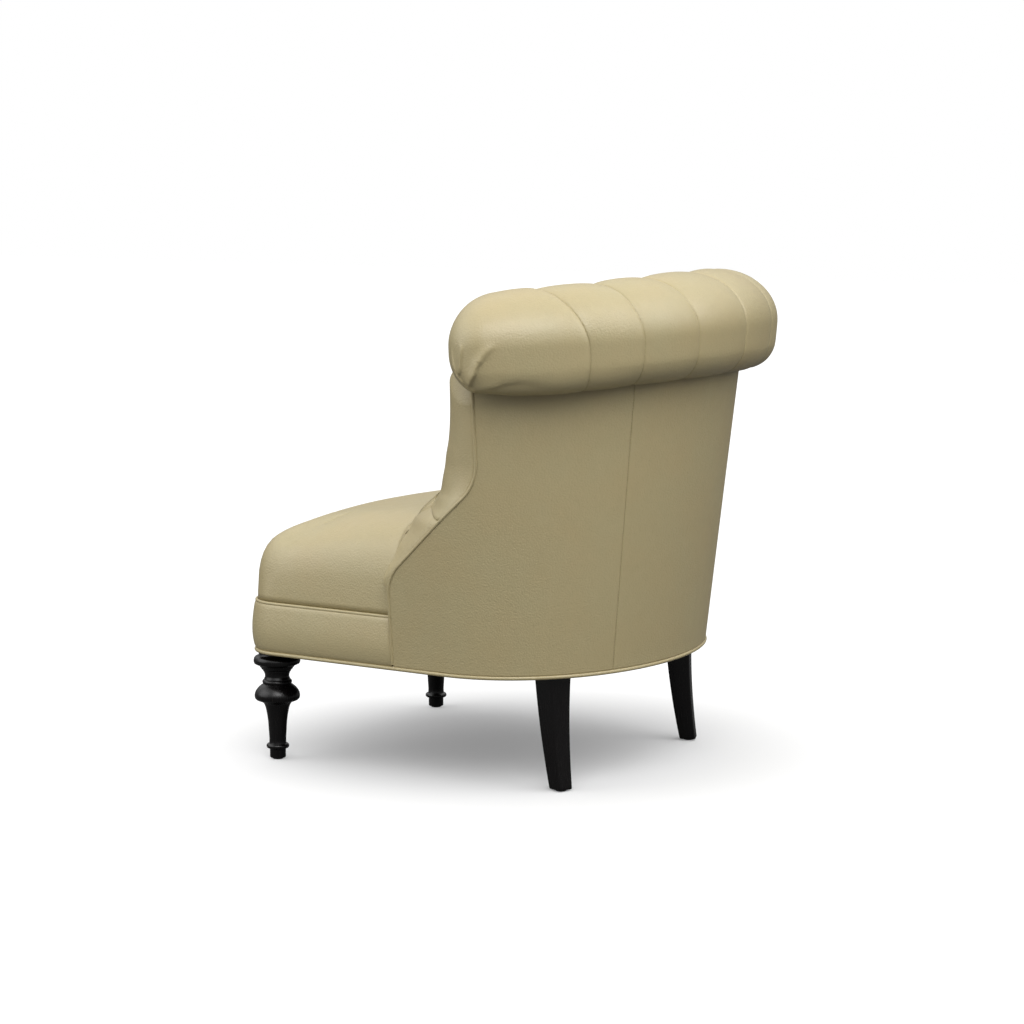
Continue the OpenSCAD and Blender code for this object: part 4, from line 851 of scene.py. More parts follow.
class CHAIR_OT_seat(ChairStep, bpy.types.Operator):
    """Padded seat with its crown and rounded edge, its cover swollen by the filling"""
    bl_idname = "chair.seat"
    bl_label = "Seat"

    # The rings of the cover close in on this place, and lie closest together on the rounded edge
    focus = (0, -130.0)
    ring_shares = [0, 0.006, 0.014, 0.025, 0.04, 0.06, 0.085, 0.115, 0.15, 0.19, 0.24, 0.3, 0.37, 0.45, 0.54,
                   0.64, 0.74, 0.84, 0.93, 0.98]
    rim_over_welt = 2.4
    over_deck = 0.5
    pressure, stiffness = 4, 12
    settling = 20  # frames of the cloth simulation

    def swell(self, scene, seat, held, most):
        """Blows the cover out with a cloth simulation, by most at the largest, held where held is 1."""
        co = np.empty(len(seat.data.vertices) * 3)
        seat.data.vertices.foreach_get("co", co)
        co = co.reshape(-1, 3)
        group = seat.vertex_groups.new(name="held")
        for k in np.flatnonzero(held > 0.01):
            group.add([int(k)], float(held[k]), "REPLACE")
        cloth = seat.modifiers.new("cloth", "CLOTH")
        cloth.settings.use_pressure = True
        cloth.settings.uniform_pressure_force = self.pressure
        cloth.settings.vertex_group_mass = "held"
        cloth.settings.effector_weights.gravity = 0
        cloth.settings.tension_stiffness = cloth.settings.compression_stiffness = self.stiffness
        cloth.point_cache.frame_end = self.settling
        for k in range(1, self.settling + 1):
            scene.frame_set(k)
        shown = seat.evaluated_get(bpy.context.evaluated_depsgraph_get())
        blown = np.empty(len(co) * 3)
        shown.data.vertices.foreach_get("co", blown)
        seat.modifiers.clear()
        scene.frame_set(1)
        moved = blown.reshape(-1, 3) - co
        far = np.linalg.norm(moved, axis=1, keepdims=True)
        moved *= np.minimum(1, most * MM / np.maximum(far, 1e-9))
        seat.data.vertices.foreach_set("co", (co + moved).ravel())
        seat.vertex_groups.clear()
        seat.data.update()

    def execute(self, context):
        shape = Shape()
        d = shape.d
        plan = along(shape.seat_plan(shape.seat_in), 260, closed=True)
        deck = d.deck_z + self.over_deck
        in_front = plan[:, 1] < -d.side_seam_d - 6
        rim = np.where(in_front, d.seat_welt_z + self.rim_over_welt, deck)
        rings = [points(plan[:, 0], plan[:, 1], rim)]
        for share in self.ring_shares:
            c = mix(plan, np.array(self.focus), share)
            height = shape.seat_height(c[:, 0], c[:, 1])
            rings.append(points(c[:, 0], c[:, 1], np.maximum(deck + 2, height)))
        rings = np.array(rings)
        seat = fresh_object("seat", tube("seat", rings))
        # Rings 0 to 2 are held and those from 9 on are free; the middle of the underside is held too
        ring = np.repeat(np.arange(len(rings)), rings.shape[1])
        self.swell(context.scene, seat, np.append(np.clip(1.4 - ring / 6, 0, 1), [1, 0]), d.swell)
        finish_piece(seat, leather(), ["seat_cover", "seat_foam"])
        return {"FINISHED"}


class CHAIR_OT_seat_front(ChairStep, bpy.types.Operator):
    """Border under the seat, bulging between its two lines of piping"""
    bl_idname = "chair.seat_front"
    bl_label = "Front border"

    leather_t = 5
    under_welt = 1.2  # the upper edge lies this far below the middle of the seat piping
    turn_in, turn_rate = 2, 40  # depth of the turned-in edges, and how soon they turn
    low_belly = 0.8  # a power below 1 sets the fullest place of the bulge below the middle

    def execute(self, context):
        shape = Shape()
        d = shape.d
        rows = []
        for v in fine_ends(20):
            turned = self.turn_in * (math.exp(-v * self.turn_rate) + math.exp(-(1 - v) * self.turn_rate))
            bulge = d.border_bulge * math.sin(math.pi * v ** self.low_belly)
            row = along(shape.front_path(turned - bulge, shape.front_y), 220)
            rows.append(points(row[:, 0], row[:, 1], mix(shape.low_z, d.seat_welt_z - self.under_welt, v)))
        front = np.array(rows)
        back = front.copy()
        back[:, :, :2] = along(shape.front_path(self.leather_t, shape.front_y), 220)
        border = fresh_object("front_border_cover", walled("front_border_cover", front, back))
        finish_piece(border, leather(), ["front_border"])
        return {"FINISHED"}


class CHAIR_OT_piping(ChairStep, bpy.types.Operator):
    """Piping round the bottom edge, under the seat and up along both arms"""
    bl_idname = "chair.piping"
    bl_label = "Piping"

    # How far the middle of each cord lies inside the outline or the wall
    seat_cord_in, base_cord_in, arm_cord_in = 3.2, 1.6, 0.8
    below_wall = 8  # the base cord's underside hangs this far below the walls
    arm_top_z = 652  # the arm cords end here, inside the roll

    def execute(self, context):
        shape = Shape()
        d = shape.d
        seat = along(shape.front_path(self.seat_cord_in, shape.front_y), 260)
        line = points(seat[:, 0], seat[:, 1], d.seat_welt_z)
        cord = pipe("seat_piping", line, d.welt_r, d.welt_sides)
        finish_piece(cord, leather(), ["seat_welt"])
        base = along(shape.outline(self.base_cord_in), 420, closed=True)
        line = points(base[:, 0], base[:, 1], d.skirt_z - self.below_wall + d.base_welt_r)
        cord = pipe("base_piping", line, d.base_welt_r, d.welt_sides, closed=True)
        finish_piece(cord, leather(), ["base_welt"])
        z = np.concatenate([np.linspace(d.skirt_z + 2, d.swoop_z, 12)[:-1],
                            np.linspace(d.swoop_z, shape.z3, 60)[:-1],
                            np.linspace(shape.z3, self.arm_top_z, 14)])
        line = shape.wall(shape.wall_s(shape.swoop(z), z), z, self.arm_cord_in)
        for side, flip in SIDES:
            cord = pipe("arm_piping_" + side, line * [flip, 1, 1], d.welt_r, d.welt_sides)
            finish_piece(cord, leather(), ["swoop_welt_" + side])
        return {"FINISHED"}


class CHAIR_OT_outside_back(ChairStep, bpy.types.Operator):
    """Three outside panels with turned-in seams, and the stitches in those seams"""
    bl_idname = "chair.outside_back"
    bl_label = "Outside back"

    leather_t = 4.0
    half_gap = 0.02  # degrees from the middle of a seam to the edge of a panel
    turn_in, turn_w = 1.3, 1.2  # depth of the turned-in edges, and the width over which they turn
    edge_shade = 0.6  # how far painted shade darkens the leather there
    into_roll = 6  # how far the panels reach up into the roll
    thread_in = 1.6  # the stitches lie this far inside the wall

    def panel(self, shape, s0, s1, cols, rows=70):
        """Front and back grids of a panel between two angles, and how far each point is from a seam."""
        v = fine_ends(rows, 0.4)[:, None]
        start = s0(v) if callable(s0) else s0
        s = mix(start, s1, fine_ends(cols, 0.12)[None, :])
        z = mix(shape.low_z, shape.wall_top(s) + self.into_roll, v)
        flat = shape.wall(s, z)
        edge = np.minimum(np.linalg.norm(flat - flat[:, :1], axis=-1),
                          np.linalg.norm(flat - flat[:, -1:], axis=-1))
        turned = self.turn_in * np.exp(-edge / self.turn_w)
        return shape.wall(s, z, turned), shape.wall(s, z, np.full_like(s, self.leather_t)), edge

    def finish(self, name, front, back, edge, nodes):
        """Makes the panel of its grids, with painted shade at its turned-in edges."""
        piece = fresh_object(name, walled(name, front, back))
        mark(piece, self.edge_shade * np.exp(-(edge / self.turn_w) ** 2))
        finish_piece(piece, leather(), nodes)

    def execute(self, context):
        shape = Shape()
        d = shape.d

        def beside_piping(v):
            z = mix(shape.low_z, shape.wall_top(np.array(shape.wing_s)) - 0.5, v)
            return shape.wall_s(shape.swoop(z) + 1, z)

        seam = d.panel_seam
        grids = self.panel(shape, seam + self.half_gap, 180 - seam - self.half_gap, 90)
        self.finish("rear_panel", *grids, ["outside_back_centre"])
        front, back, edge = self.panel(shape, beside_piping, seam - self.half_gap, 90)
        z = np.linspace(d.skirt_z + 3, float(shape.wall_top(np.array(seam))), 40)
        line = shape.wall(np.full_like(z, seam), z, self.thread_in)
        for side, flip in SIDES:
            mirror = [flip, 1, 1]
            self.finish("side_panel_" + side, front * mirror, back * mirror, edge, ["outside_back_" + side])
            stitches = stitched("seam_stitches_" + side, line * mirror, d.stitch_gap, d.stitch_len,
                                2 * d.stitch_r, thread())
            finish_piece(stitches, thread())
        return {"FINISHED"}


class CHAIR_OT_arm_bands(ChairStep, bpy.types.Operator):
    """Padded leather bands over both arms, under the crease of the wings"""
    bl_idname = "chair.arm_bands"
    bl_label = "Arm bands"

    leather_t = 7.0
    below_welt = 8  # the bands' lower ends lie this far below the seat piping, behind the border
    turn_in = 3.5  # depth of the turned-in edge in the crease, and the height over which it turns

    def execute(self, context):
        shape = Shape()
        b = np.linspace(0, 180, 61)[None, :]
        v = fine_ends(44, 0.35)[:, None]
        top = shape.crease(b) + 1
        z = mix(shape.d.seat_welt_z - self.below_welt, top, v)
        turned = self.turn_in * np.exp(-(top - z) / self.turn_in) * shape.turning_in(b)
        front, back = shape.nose(z, b, turned), shape.nose(z, b, self.leather_t)
        for side, flip in SIDES:
            name = "arm_band_cover_" + side
            piece = fresh_object(name, walled(name, front * [flip, 1, 1], back * [flip, 1, 1]))
            # Painted shade darkens the leather where the edge turns into the crease
            mark(piece, turned / self.turn_in)
            finish_piece(piece, leather(), ["arm_band_" + side])
        return {"FINISHED"}


class CHAIR_OT_inside_back(ChairStep, bpy.types.Operator):
    """Inside back with its tufts, running round the padded front edge of each wing"""
    bl_idname = "chair.inside_back"
    bl_label = "Inside back"

    low_level, under_roll_z = 450, 664  # rows of the grid below the tufts and under the roll
    padding_t = 22
    wing_cols, barrel_cols = 49, 199
    roll_a = 204.0  # angle of the roll's section at which the padding goes under it
    wing_top_z, wing_top_rise = 645, 39  # where a wing goes under the roll, and its rise to the inside
    turn_in, turn_rate = 3.0, 9  # depth of the turned-in edge in the crease, and how soon it turns
    tuft_power, tuft_round = 0.62, 0.0006  # puffs meet in a cusp, the sharper the lower both are
    tuft_seams, fade_z, fade_h = 3.5, 430, 40  # the tufts end at this seam, and fade in over this height
    dimple, dimple_r = 6, 13  # extra depth round each button, and its reach

    def levels(self, d):
        """Heights of the grid's main rows along the barrel, half a row of buttons apart in the tufts."""
        tufts = [d.tuft_top_z - k * d.tuft_row_h / 2 for k in (4, 3, 2, 1, 0)]
        return [Shape.crease_in_z, self.low_level, *tufts, self.under_roll_z]

    def tuft(self, shape, s, z):
        """Depth of the diamond tufts, and above the top buttons of the seams that go on into the roll."""
        d = shape.d
        u, v = shape.tuft_u(s), (z - d.tuft_top_z) / (2 * d.tuft_row_h)
        up = np.abs(u - np.round(u))
        cross = np.minimum(np.abs(u + v - np.round(u + v)), np.abs(u - v - np.round(u - v)))
        near = np.where(v > 0, up, cross)
        pull = 1 - (2 * np.sqrt(near ** 2 + self.tuft_round)) ** self.tuft_power
        fade = ease(2 * (self.tuft_seams - np.abs(u))) * ease((z - self.fade_z) / self.fade_h)
        return d.tuft_depth * pull * fade

    def dimples(self, shape, p):
        """Extra pull round each button."""
        out = np.zeros(p.shape[:-1])
        for q, _ in button_places(shape):
            out += self.dimple * np.exp(-((p - q) ** 2).sum(-1) / self.dimple_r ** 2)
        return out

    def row(self, shape, levels, rho, t):
        """One row round both wings and the barrel, t below the surface. Along the barrel it lies at a level
        at each whole rho, from 0 at the seat; past the last level it goes on under the roll."""
        d = shape.d
        last = len(levels)
        b = np.linspace(0, 180, self.wing_cols)
        wing_top = self.wing_top_z + self.wing_top_rise * ease(1 - cosd(b))
        turned = self.turn_in * np.exp(-rho * self.turn_rate) * shape.turning_in(b) if t == 0 else 0
        wing = shape.nose(mix(shape.crease(b) + 1, wing_top, rho / last), b, t + turned)
        wing = mix(wing, shape.on_dome(wing, 3 + t), ease(rho - last + 1))
        z = float(np.interp(min(rho, last - 1), range(last), levels))
        s0 = float(shape.wall_s(wing[-1, 1], z, d.back_t)) + 2
        s = np.linspace(s0, 180 - s0, self.barrel_cols + 2)[1:-1]
        barrel = shape.wall(s, z, d.back_t - t - (self.tuft(shape, s, z) if t == 0 else 0))
        if rho > last - 1:
            under = shape.roll_point(s, np.full_like(s, self.roll_a), shape.roll_rad(s) - t - 4)
            barrel = mix(barrel, under, rho - last + 1)
        return np.concatenate([wing, barrel, wing[::-1] * [-1, 1, 1]])

    def execute(self, context):
        shape = Shape()
        levels = self.levels(shape.d)
        steps = np.concatenate([np.linspace(0, 0.25, 6)[:-1], np.linspace(0.25, len(levels), 108)])
        front = np.array([self.row(shape, levels, rho, 0) for rho in steps])
        back = np.array([self.row(shape, levels, rho, self.padding_t) for rho in steps])
        barrel = front[:, self.wing_cols:self.wing_cols + self.barrel_cols]
        inward = barrel * [1, 1, 0]
        inward = inward / np.maximum(np.linalg.norm(inward, axis=-1, keepdims=True), 1)
        barrel += inward * self.dimples(shape, barrel)[..., None]
        piece = fresh_object("inside_back", walled("inside_back", front, back))
        finish_piece(piece, leather(), ["inside_back_cover", "inside_back_foam"])
        return {"FINISHED"}


def button_places(shape):
    """Place and direction of each covered button: rows of 7, 6 and 7."""
    d = shape.d
    found = []
    for row in range(3):
        for k in range(-3, 4 - row % 2):
            s, z = float(shape.seam_s(k + (row % 2) / 2)), d.tuft_top_z - row * d.tuft_row_h
            p, q = shape.wall(s, z, d.back_t - d.tuft_depth + 1), shape.wall(s, z)
            out = (p - q) / np.linalg.norm(p - q)
            out[2] = sind(d.rear_lean)
            found.append((p, out))
    return found


class CHAIR_OT_buttons(ChairStep, bpy.types.Operator):
    """Covered buttons in the tufts"""
    bl_idname = "chair.buttons"
    bl_label = "Buttons"

    rise = 0.6  # thickness of a button as a share of its diameter

    def execute(self, context):
        shape = Shape()
        places = button_places(shape)
        mesh = bpy.data.meshes.new("button_points")
        mesh.from_pydata(seated([p for p, _ in places]).tolist(), [], [])
        facing = mesh.attributes.new("facing", "FLOAT_VECTOR", "POINT")
        facing.data.foreach_set("vector", np.array([n for _, n in places], np.float32).ravel())
        across = shape.d.button_d * MM
        buttons = baked("covered_buttons", fresh_object("button_points", mesh), button_tree(),
                        {"Diameter": across, "Rise": self.rise * across, "Material": leather()})
        finish_piece(buttons, leather(), ["tuft_buttons"])
        return {"FINISHED"}


class CHAIR_OT_roll(ChairStep, bpy.types.Operator):
    """Rolled top with its channels and its domed ends gathered in pleats"""
    bl_idname = "chair.roll"
    bl_label = "Rolled top"

    # Shares of a channel's width at which the sections stand, up to its middle
    channel_parts = [0, 0.004, 0.009, 0.016, 0.028, 0.045, 0.07, 0.1, 0.14, 0.19, 0.25, 0.32, 0.41, 0.5]
    channel_w = 110  # usual width of a channel, in millimetres
    cusp_round = 0.00002  # rounds the cusp at the bottom of a seam a little
    crease_w, crease_d = 1.3, 0.7  # half the width of the fine crease in a seam, and its depth
    seam_shade = 0.6  # how far painted shade darkens the leather in it
    low_depth, under_depth = 0.55, 0.5  # what is left of a seam's depth low on the roll, and under it
    inner_a, outer_a = 204, 294  # the roll's section is hidden in the back between these angles
    sink = 5  # how far the roll's underside sinks in there

    # Folds at the right end, gathered where its dome meets the wing: their routes in angle along the
    # barrel and angle of the section, their height, and their reach on the steep and on the soft side
    pleats = [([(15.1, -46), (16.2, -30), (17.8, -15), (20.5, -3.7), (22.5, 3)], 4.6, 2.0, 9.0),
              ([(12.7, -32), (13.4, -17), (13.9, -3), (13.6, 10)], 3.2, 2.0, 6.0),
              ([(14.2, -46), (11.8, -30), (10.9, -12), (10.7, 6)], 2.4, 1.8, 5.0),
              ([(15.6, -52), (20, -42), (24.5, -34), (29, -29)], 1.6, 5.0, 9.0),
              ([(16.2, -60), (20.5, -66), (26, -62)], -2.2, 9.0, 9.0),
              ([(22, -38), (28, -40), (35, -46)], -1.6, 10.0, 10.0)]
    # The ends taper over their crest and hang fuller below it: height, then middle and reach along the
    # barrel, and middle and reach round the section
    swellings = [(-5, 17, 6, 80, 45), (5, 36, 14, -50, 28)]

    def steps(self, shape):
        """Angles along the barrel at which the sections stand, closest at the seams and at the tips."""
        d = shape.d
        end = d.roll_end + d.roll_dome * (1 - cosd(np.linspace(0, 90, 56)))
        part = np.array(self.channel_parts)
        part = np.concatenate([part, 1 - part[-2:0:-1]])
        s = shape.seam_s(np.concatenate([k + part for k in range(-3, 3)] + [[3.0]]))
        # From the domed end to the last seam, with a few close ones just outside that seam
        side = mix(end[-1], s[0], np.linspace(0, 1, 44)[1:-1])
        close = s[0] - d.channel_angle * 0.02 * part[1:6]
        half = np.sort(np.concatenate([side, close]))
        return np.concatenate([end, half, s, 180 - half[::-1], 180 - end[::-1]])

    def groove(self, shape, s, a):
        """Depth of the channel seams, puffs that meet in a cusp with a fine crease at its bottom, and how
        much painted shade darkens the leather there."""
        u = shape.tuft_u(s)
        e = np.abs(u - np.clip(np.round(u), -3, 3))
        x = np.clip(1 - 2 * np.sqrt(e ** 2 + self.cusp_round), 0, 1)
        cusp = 1 - np.sqrt(1 - x * x)
        share = mix(self.low_depth, 1.0, ease((a + 10) / 90)) * mix(self.under_depth, 1, ease((a + 70) / 30))
        line = np.exp(-(e * self.channel_w / self.crease_w) ** 2)
        return share * shape.d.channel_depth * cusp + self.crease_d * line, self.seam_shade * line

    def folds(self, shape, s, a):
        """Height of the gathered folds on the roll's surface."""
        out = np.zeros(s.shape)
        fine = np.linspace(0, 1, 41)
        for side in (np.where(s < 90, s, -90), np.where(s > 90, 180 - s, -90)):
            near = (side > 0) & (side < 60)
            p = shape.roll_point(side[near], a[near], (shape.dome_scale(side) * shape.roll_rad(side))[near])
            for route, height, steep, soft in self.pleats:
                even = np.linspace(0, 1, len(route))
                rs, ra = (np.interp(fine, even, turn) for turn in np.array(route, float).T)
                line = shape.roll_point(rs, ra, shape.dome_scale(rs) * shape.roll_rad(rs))
                away = np.linalg.norm(p[:, None, :] - line, axis=-1)
                k = away.argmin(-1)
                taper = ease(k / 8 + 0.3) * (1 - ease((k / 40 - 0.5) / 0.5))
                reach = np.where(side[near] > rs[k], steep, soft)
                out[near] += height * taper * np.exp(-(away.min(-1) / reach) ** 2)
        return out

    def execute(self, context):
        shape = Shape()
        a = np.concatenate([np.linspace(self.outer_a - 360, 30, 90), np.linspace(30, self.inner_a, 90)[1:],
                            np.linspace(self.inner_a, self.outer_a, 24)[1:-1]])
        seam, turn = np.meshgrid(self.steps(shape), a, indexing="ij")
        turn_up = np.where(turn > 250, turn - 360, turn)
        hidden = ease(np.minimum(turn - self.inner_a + 6, self.outer_a + 6 - turn) / 12)
        s = seam - shape.seam_turn(seam, turn_up)
        depth, line = self.groove(shape, seam, turn_up)
        dome = shape.dome_scale(s)
        m = np.minimum(s, 180 - s)
        lift = self.folds(shape, s, turn)
        for height, at, wide, at_turn, wide_turn in self.swellings:
            lift = lift + height * np.exp(-((m - at) / wide) ** 2 - ((turn_up - at_turn) / wide_turn) ** 2)
        body = shape.roll_point(s, turn, dome * (shape.roll_rad(s) - depth - self.sink * hidden) + lift)
        piece = fresh_object("rolled_top", tube("rolled_top", body))
        # Painted shade along the seam creases, left out where the roll is hidden in the back
        mark(piece, line * (1 - hidden))
        finish_piece(piece, leather(), ["roll_cover", "roll_core"])
        return {"FINISHED"}


class CHAIR_OT_front_legs(ChairStep, bpy.types.Operator):
    """Turned front legs in black stained oak"""
    bl_idname = "chair.front_legs"
    bl_label = "Front legs"

    # Radius and height along the turning: the foot, the ankle ring, the shank with its flare, the bulb, the
    # neck ring, the neck with its stepped cove, the disc and the top
    turning = [
        (10, 2.5), (12.4, 2.5), (13.2, 3.4), (13.3, 17.2),
        (14.4, 18.2), (17.2, 18.7), (18.5, 20), (18.9, 22), (18.5, 24), (17.2, 25.4), (14.6, 26.2),
        (14.1, 28), (13.9, 34), (14.3, 41), (14.8, 48), (15.2, 56), (15.8, 64), (16.8, 72), (18.1, 80),
        (19.6, 87), (21.4, 92), (23.6, 95.4), (26.2, 97.2), (30.6, 98.8), (34.6, 100.5),
        (36.9, 102.8), (37.7, 105.6), (37.7, 109), (36.8, 112.6), (35.3, 115.8), (33, 119), (30, 122.2),
        (26.8, 124.8), (24.2, 126.4), (23.0, 127.6),
        (24.2, 128.7), (24.7, 130.4), (24.4, 132.2), (23.4, 133.6), (21.9, 134.4),
        (21.7, 136), (20.5, 138.2), (20.1, 141), (20.5, 143.8), (21.5, 146.6), (23.2, 149), (23.5, 150.4),
        (25.9, 152.4), (26.3, 153.8), (28.6, 156.2), (29.1, 157.6), (31.6, 159.6),
        (35, 160.4), (37.6, 161.8), (38.7, 164.4), (38.8, 167.6), (38, 171), (36, 173.4), (32.4, 174.8),
        (30.6, 176.4), (30, 179), (30, 190)]

    def execute(self, context):
        d = sizes()
        a = np.linspace(0, 360, 97)[:-1]
        rings = np.array([points(r * cosd(a), r * sind(a), z) for r, z in self.turning])
        for side, flip in SIDES:
            name = "turned_leg_" + side
            leg = fresh_object(name, tube(name, rings + [flip * d.front_leg_x, -d.front_leg_d, 0], sharp=38))
            finish_piece(leg, black_lacquer(), ["front_leg_" + side])
        return {"FINISHED"}


class CHAIR_OT_rear_legs(ChairStep, bpy.types.Operator):
    """Square sabre rear legs in black stained oak"""
    bl_idname = "chair.rear_legs"
    bl_label = "Rear legs"

    sweep_power, taper_power = 1.8, 0.9  # how the sweep and the taper gather towards the foot
    # Underside and rounded rim of the foot: height over the glide, share of the leg's side that the ring
    # keeps, and how much smaller it then is all round
    foot = [(0, 0.02, 0), (0, 1, 1.4), (0.6, 1, 0.5), (1.6, 1, 0.1)]
    straight_from = 4  # height over the glide at which the full rings start

    def rounded_square(self, half, r, turn):
        """Square ring with rounded corners, 6 points to a corner."""
        out = []
        for k in range(4):
            for a in np.linspace(-45, 45, 6):
                q = 90 * k + 45
                c = np.array([cosd(q), sind(q)]) * math.sqrt(2) * (half - r)
                out.append(c + r * np.array([cosd(q + a), sind(q + a)]))
        return np.array(out) @ np.array([[cosd(turn), sind(turn)], [-sind(turn), cosd(turn)]])

    def ring(self, d, top, z, share=1, smaller=0):
        """Ring of the right leg at height z."""
        t = max(1 - z / top, 0)
        half = share * mix(d.sabre_top, d.sabre_foot, t ** self.taper_power) / 2 - smaller
        ring = self.rounded_square(half, min(d.edge_r, half * 0.8), -d.sabre_turn)
        swept = 1 - t ** self.sweep_power
        return points(ring[:, 0] + d.rear_foot_x - d.sabre_splay * swept,
                      ring[:, 1] + d.rear_foot_d - d.sabre_sweep * swept, z)

    def execute(self, context):
        shape = Shape()
        d, top = shape.d, shape.low_z
        rings = [self.ring(d, top, d.glide_h + up, share, smaller) for up, share, smaller in self.foot]
        rings += [self.ring(d, top, z) for z in np.linspace(d.glide_h + self.straight_from, top, 40)]
        for side, flip in SIDES:
            name = "sabre_leg_" + side
            leg = fresh_object(name, tube(name, np.array(rings) * [flip, 1, 1]))
            finish_piece(leg, black_lacquer(), ["rear_leg_" + side])
        return {"FINISHED"}


class CHAIR_OT_cloths(ChairStep, bpy.types.Operator):
    """Deck cloth over the springs, and black dust cloth stapled under the frame and cut round the legs"""
    bl_idname = "chair.cloths"
    bl_label = "Deck cloth and dust cloth"

    rails = ["front_rail", "side_rail_left", "side_rail_right", "back_rail"]
    deck_in, dust_in, staples_in = 40, 11, 20  # how far inside the body's outline each of them lies
    cloth_t, dust_sag = 1.2, 4
    focus = (0, -60.0)  # the rings of a cloth close in on this place
    ring_shares = [0, 0.01, 0.04, 0.1, 0.18, 0.28, 0.4, 0.54, 0.7, 0.86]
    front_hole_r, rear_hole_room = 31, 0.6  # holes for the legs: a radius, and room round a square leg
    cutter_z = (160, 220)  # heights between which the holes are cut
    staple_gap, staple_w, staple_t = 26, 11, 1.3

    def cloth(self, name, edge, top, sag):
        """Thin closed sheet inside the edge that hangs by sag at its middle."""
        rings = []
        for below, shares in ((0, self.ring_shares[::-1]), (self.cloth_t, self.ring_shares)):
            for share in shares:
                c = mix(edge, np.array(self.focus), share)
                rings.append(points(c[:, 0], c[:, 1], top - below - sag * (1 - (1 - share) ** 2)))
        return fresh_object(name, tube(name, np.array(rings), sharp=60))

    def leg_cutters(self, d):
        """Upright columns that stand where the legs go through the dust cloth."""
        a = np.linspace(0, 360, 49)[:-1]
        front = points(self.front_hole_r * cosd(a), self.front_hole_r * sind(a), 0)
        half = d.sabre_top / 2 + self.rear_hole_room
        square = np.array([[half, half, 0], [-half, half, 0], [-half, -half, 0], [half, -half, 0]])
        rear_x, rear_y = d.rear_foot_x - d.sabre_splay, d.rear_foot_d - d.sabre_sweep
        cutters = []
        for x in (-1, 1):
            c, s = cosd(d.sabre_turn), -x * sind(d.sabre_turn)
            turn = np.array([[c, s, 0], [-s, c, 0], [0, 0, 1]])
            for ring, place in ((front, [x * d.front_leg_x, -d.front_leg_d, 0]),
                                (square @ turn, [x * rear_x, rear_y, 0])):
                rings = np.array([ring + place + np.array([0, 0, z]) for z in self.cutter_z])
                cutters.append(fresh_object("cutter", tube("cutter", rings)))
        return cutters

    def execute(self, context):
        shape = Shape()
        d = shape.d
        edge = along(shape.outline(self.deck_in), 240, closed=True)
        deck = self.cloth("deck_sheet", edge, d.deck_z, 0)
        finish_piece(deck, jute(), ["deck_cloth"])
        edge = along(shape.outline(self.dust_in), 240, closed=True)
        dust = cut(self.cloth("dust_sheet", edge, shape.low_z, self.dust_sag), self.leg_cutters(d))
        finish_piece(dust, dust_cloth(), ["dust_cover"])
        line = along(shape.outline(self.staples_in), 260, closed=True)
        staples = stitched("dust_sheet_staples", points(line[:, 0], line[:, 1], shape.low_z - 2),
                           self.staple_gap, self.staple_w, self.staple_t, zinc(), closed=True)
        finish_piece(staples, zinc())
        return {"FINISHED"}


class CHAIR_OT_underside(ChairStep, bpy.types.Operator):
    """Finishes of the frame, springs and fittings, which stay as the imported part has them"""
    bl_idname = "chair.underside"
    bl_label = "Frame and fittings"

    wooden = ("rail", "post", "block", "board")

    def dress(self, node, material):
        """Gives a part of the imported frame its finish."""
        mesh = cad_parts[node].data
        mesh.materials.clear()
        mesh.materials.append(material)

    def execute(self, context):
        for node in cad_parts:
            if any(word in node for word in self.wooden):
                self.dress(node, beech())
        for node in ("seat_springs", "spring_clips", "hanger_bolts"):
            self.dress(node, zinc())
        self.dress("back_webbing", jute())
        self.dress("nail_glides", nylon())
        return {"FINISHED"}


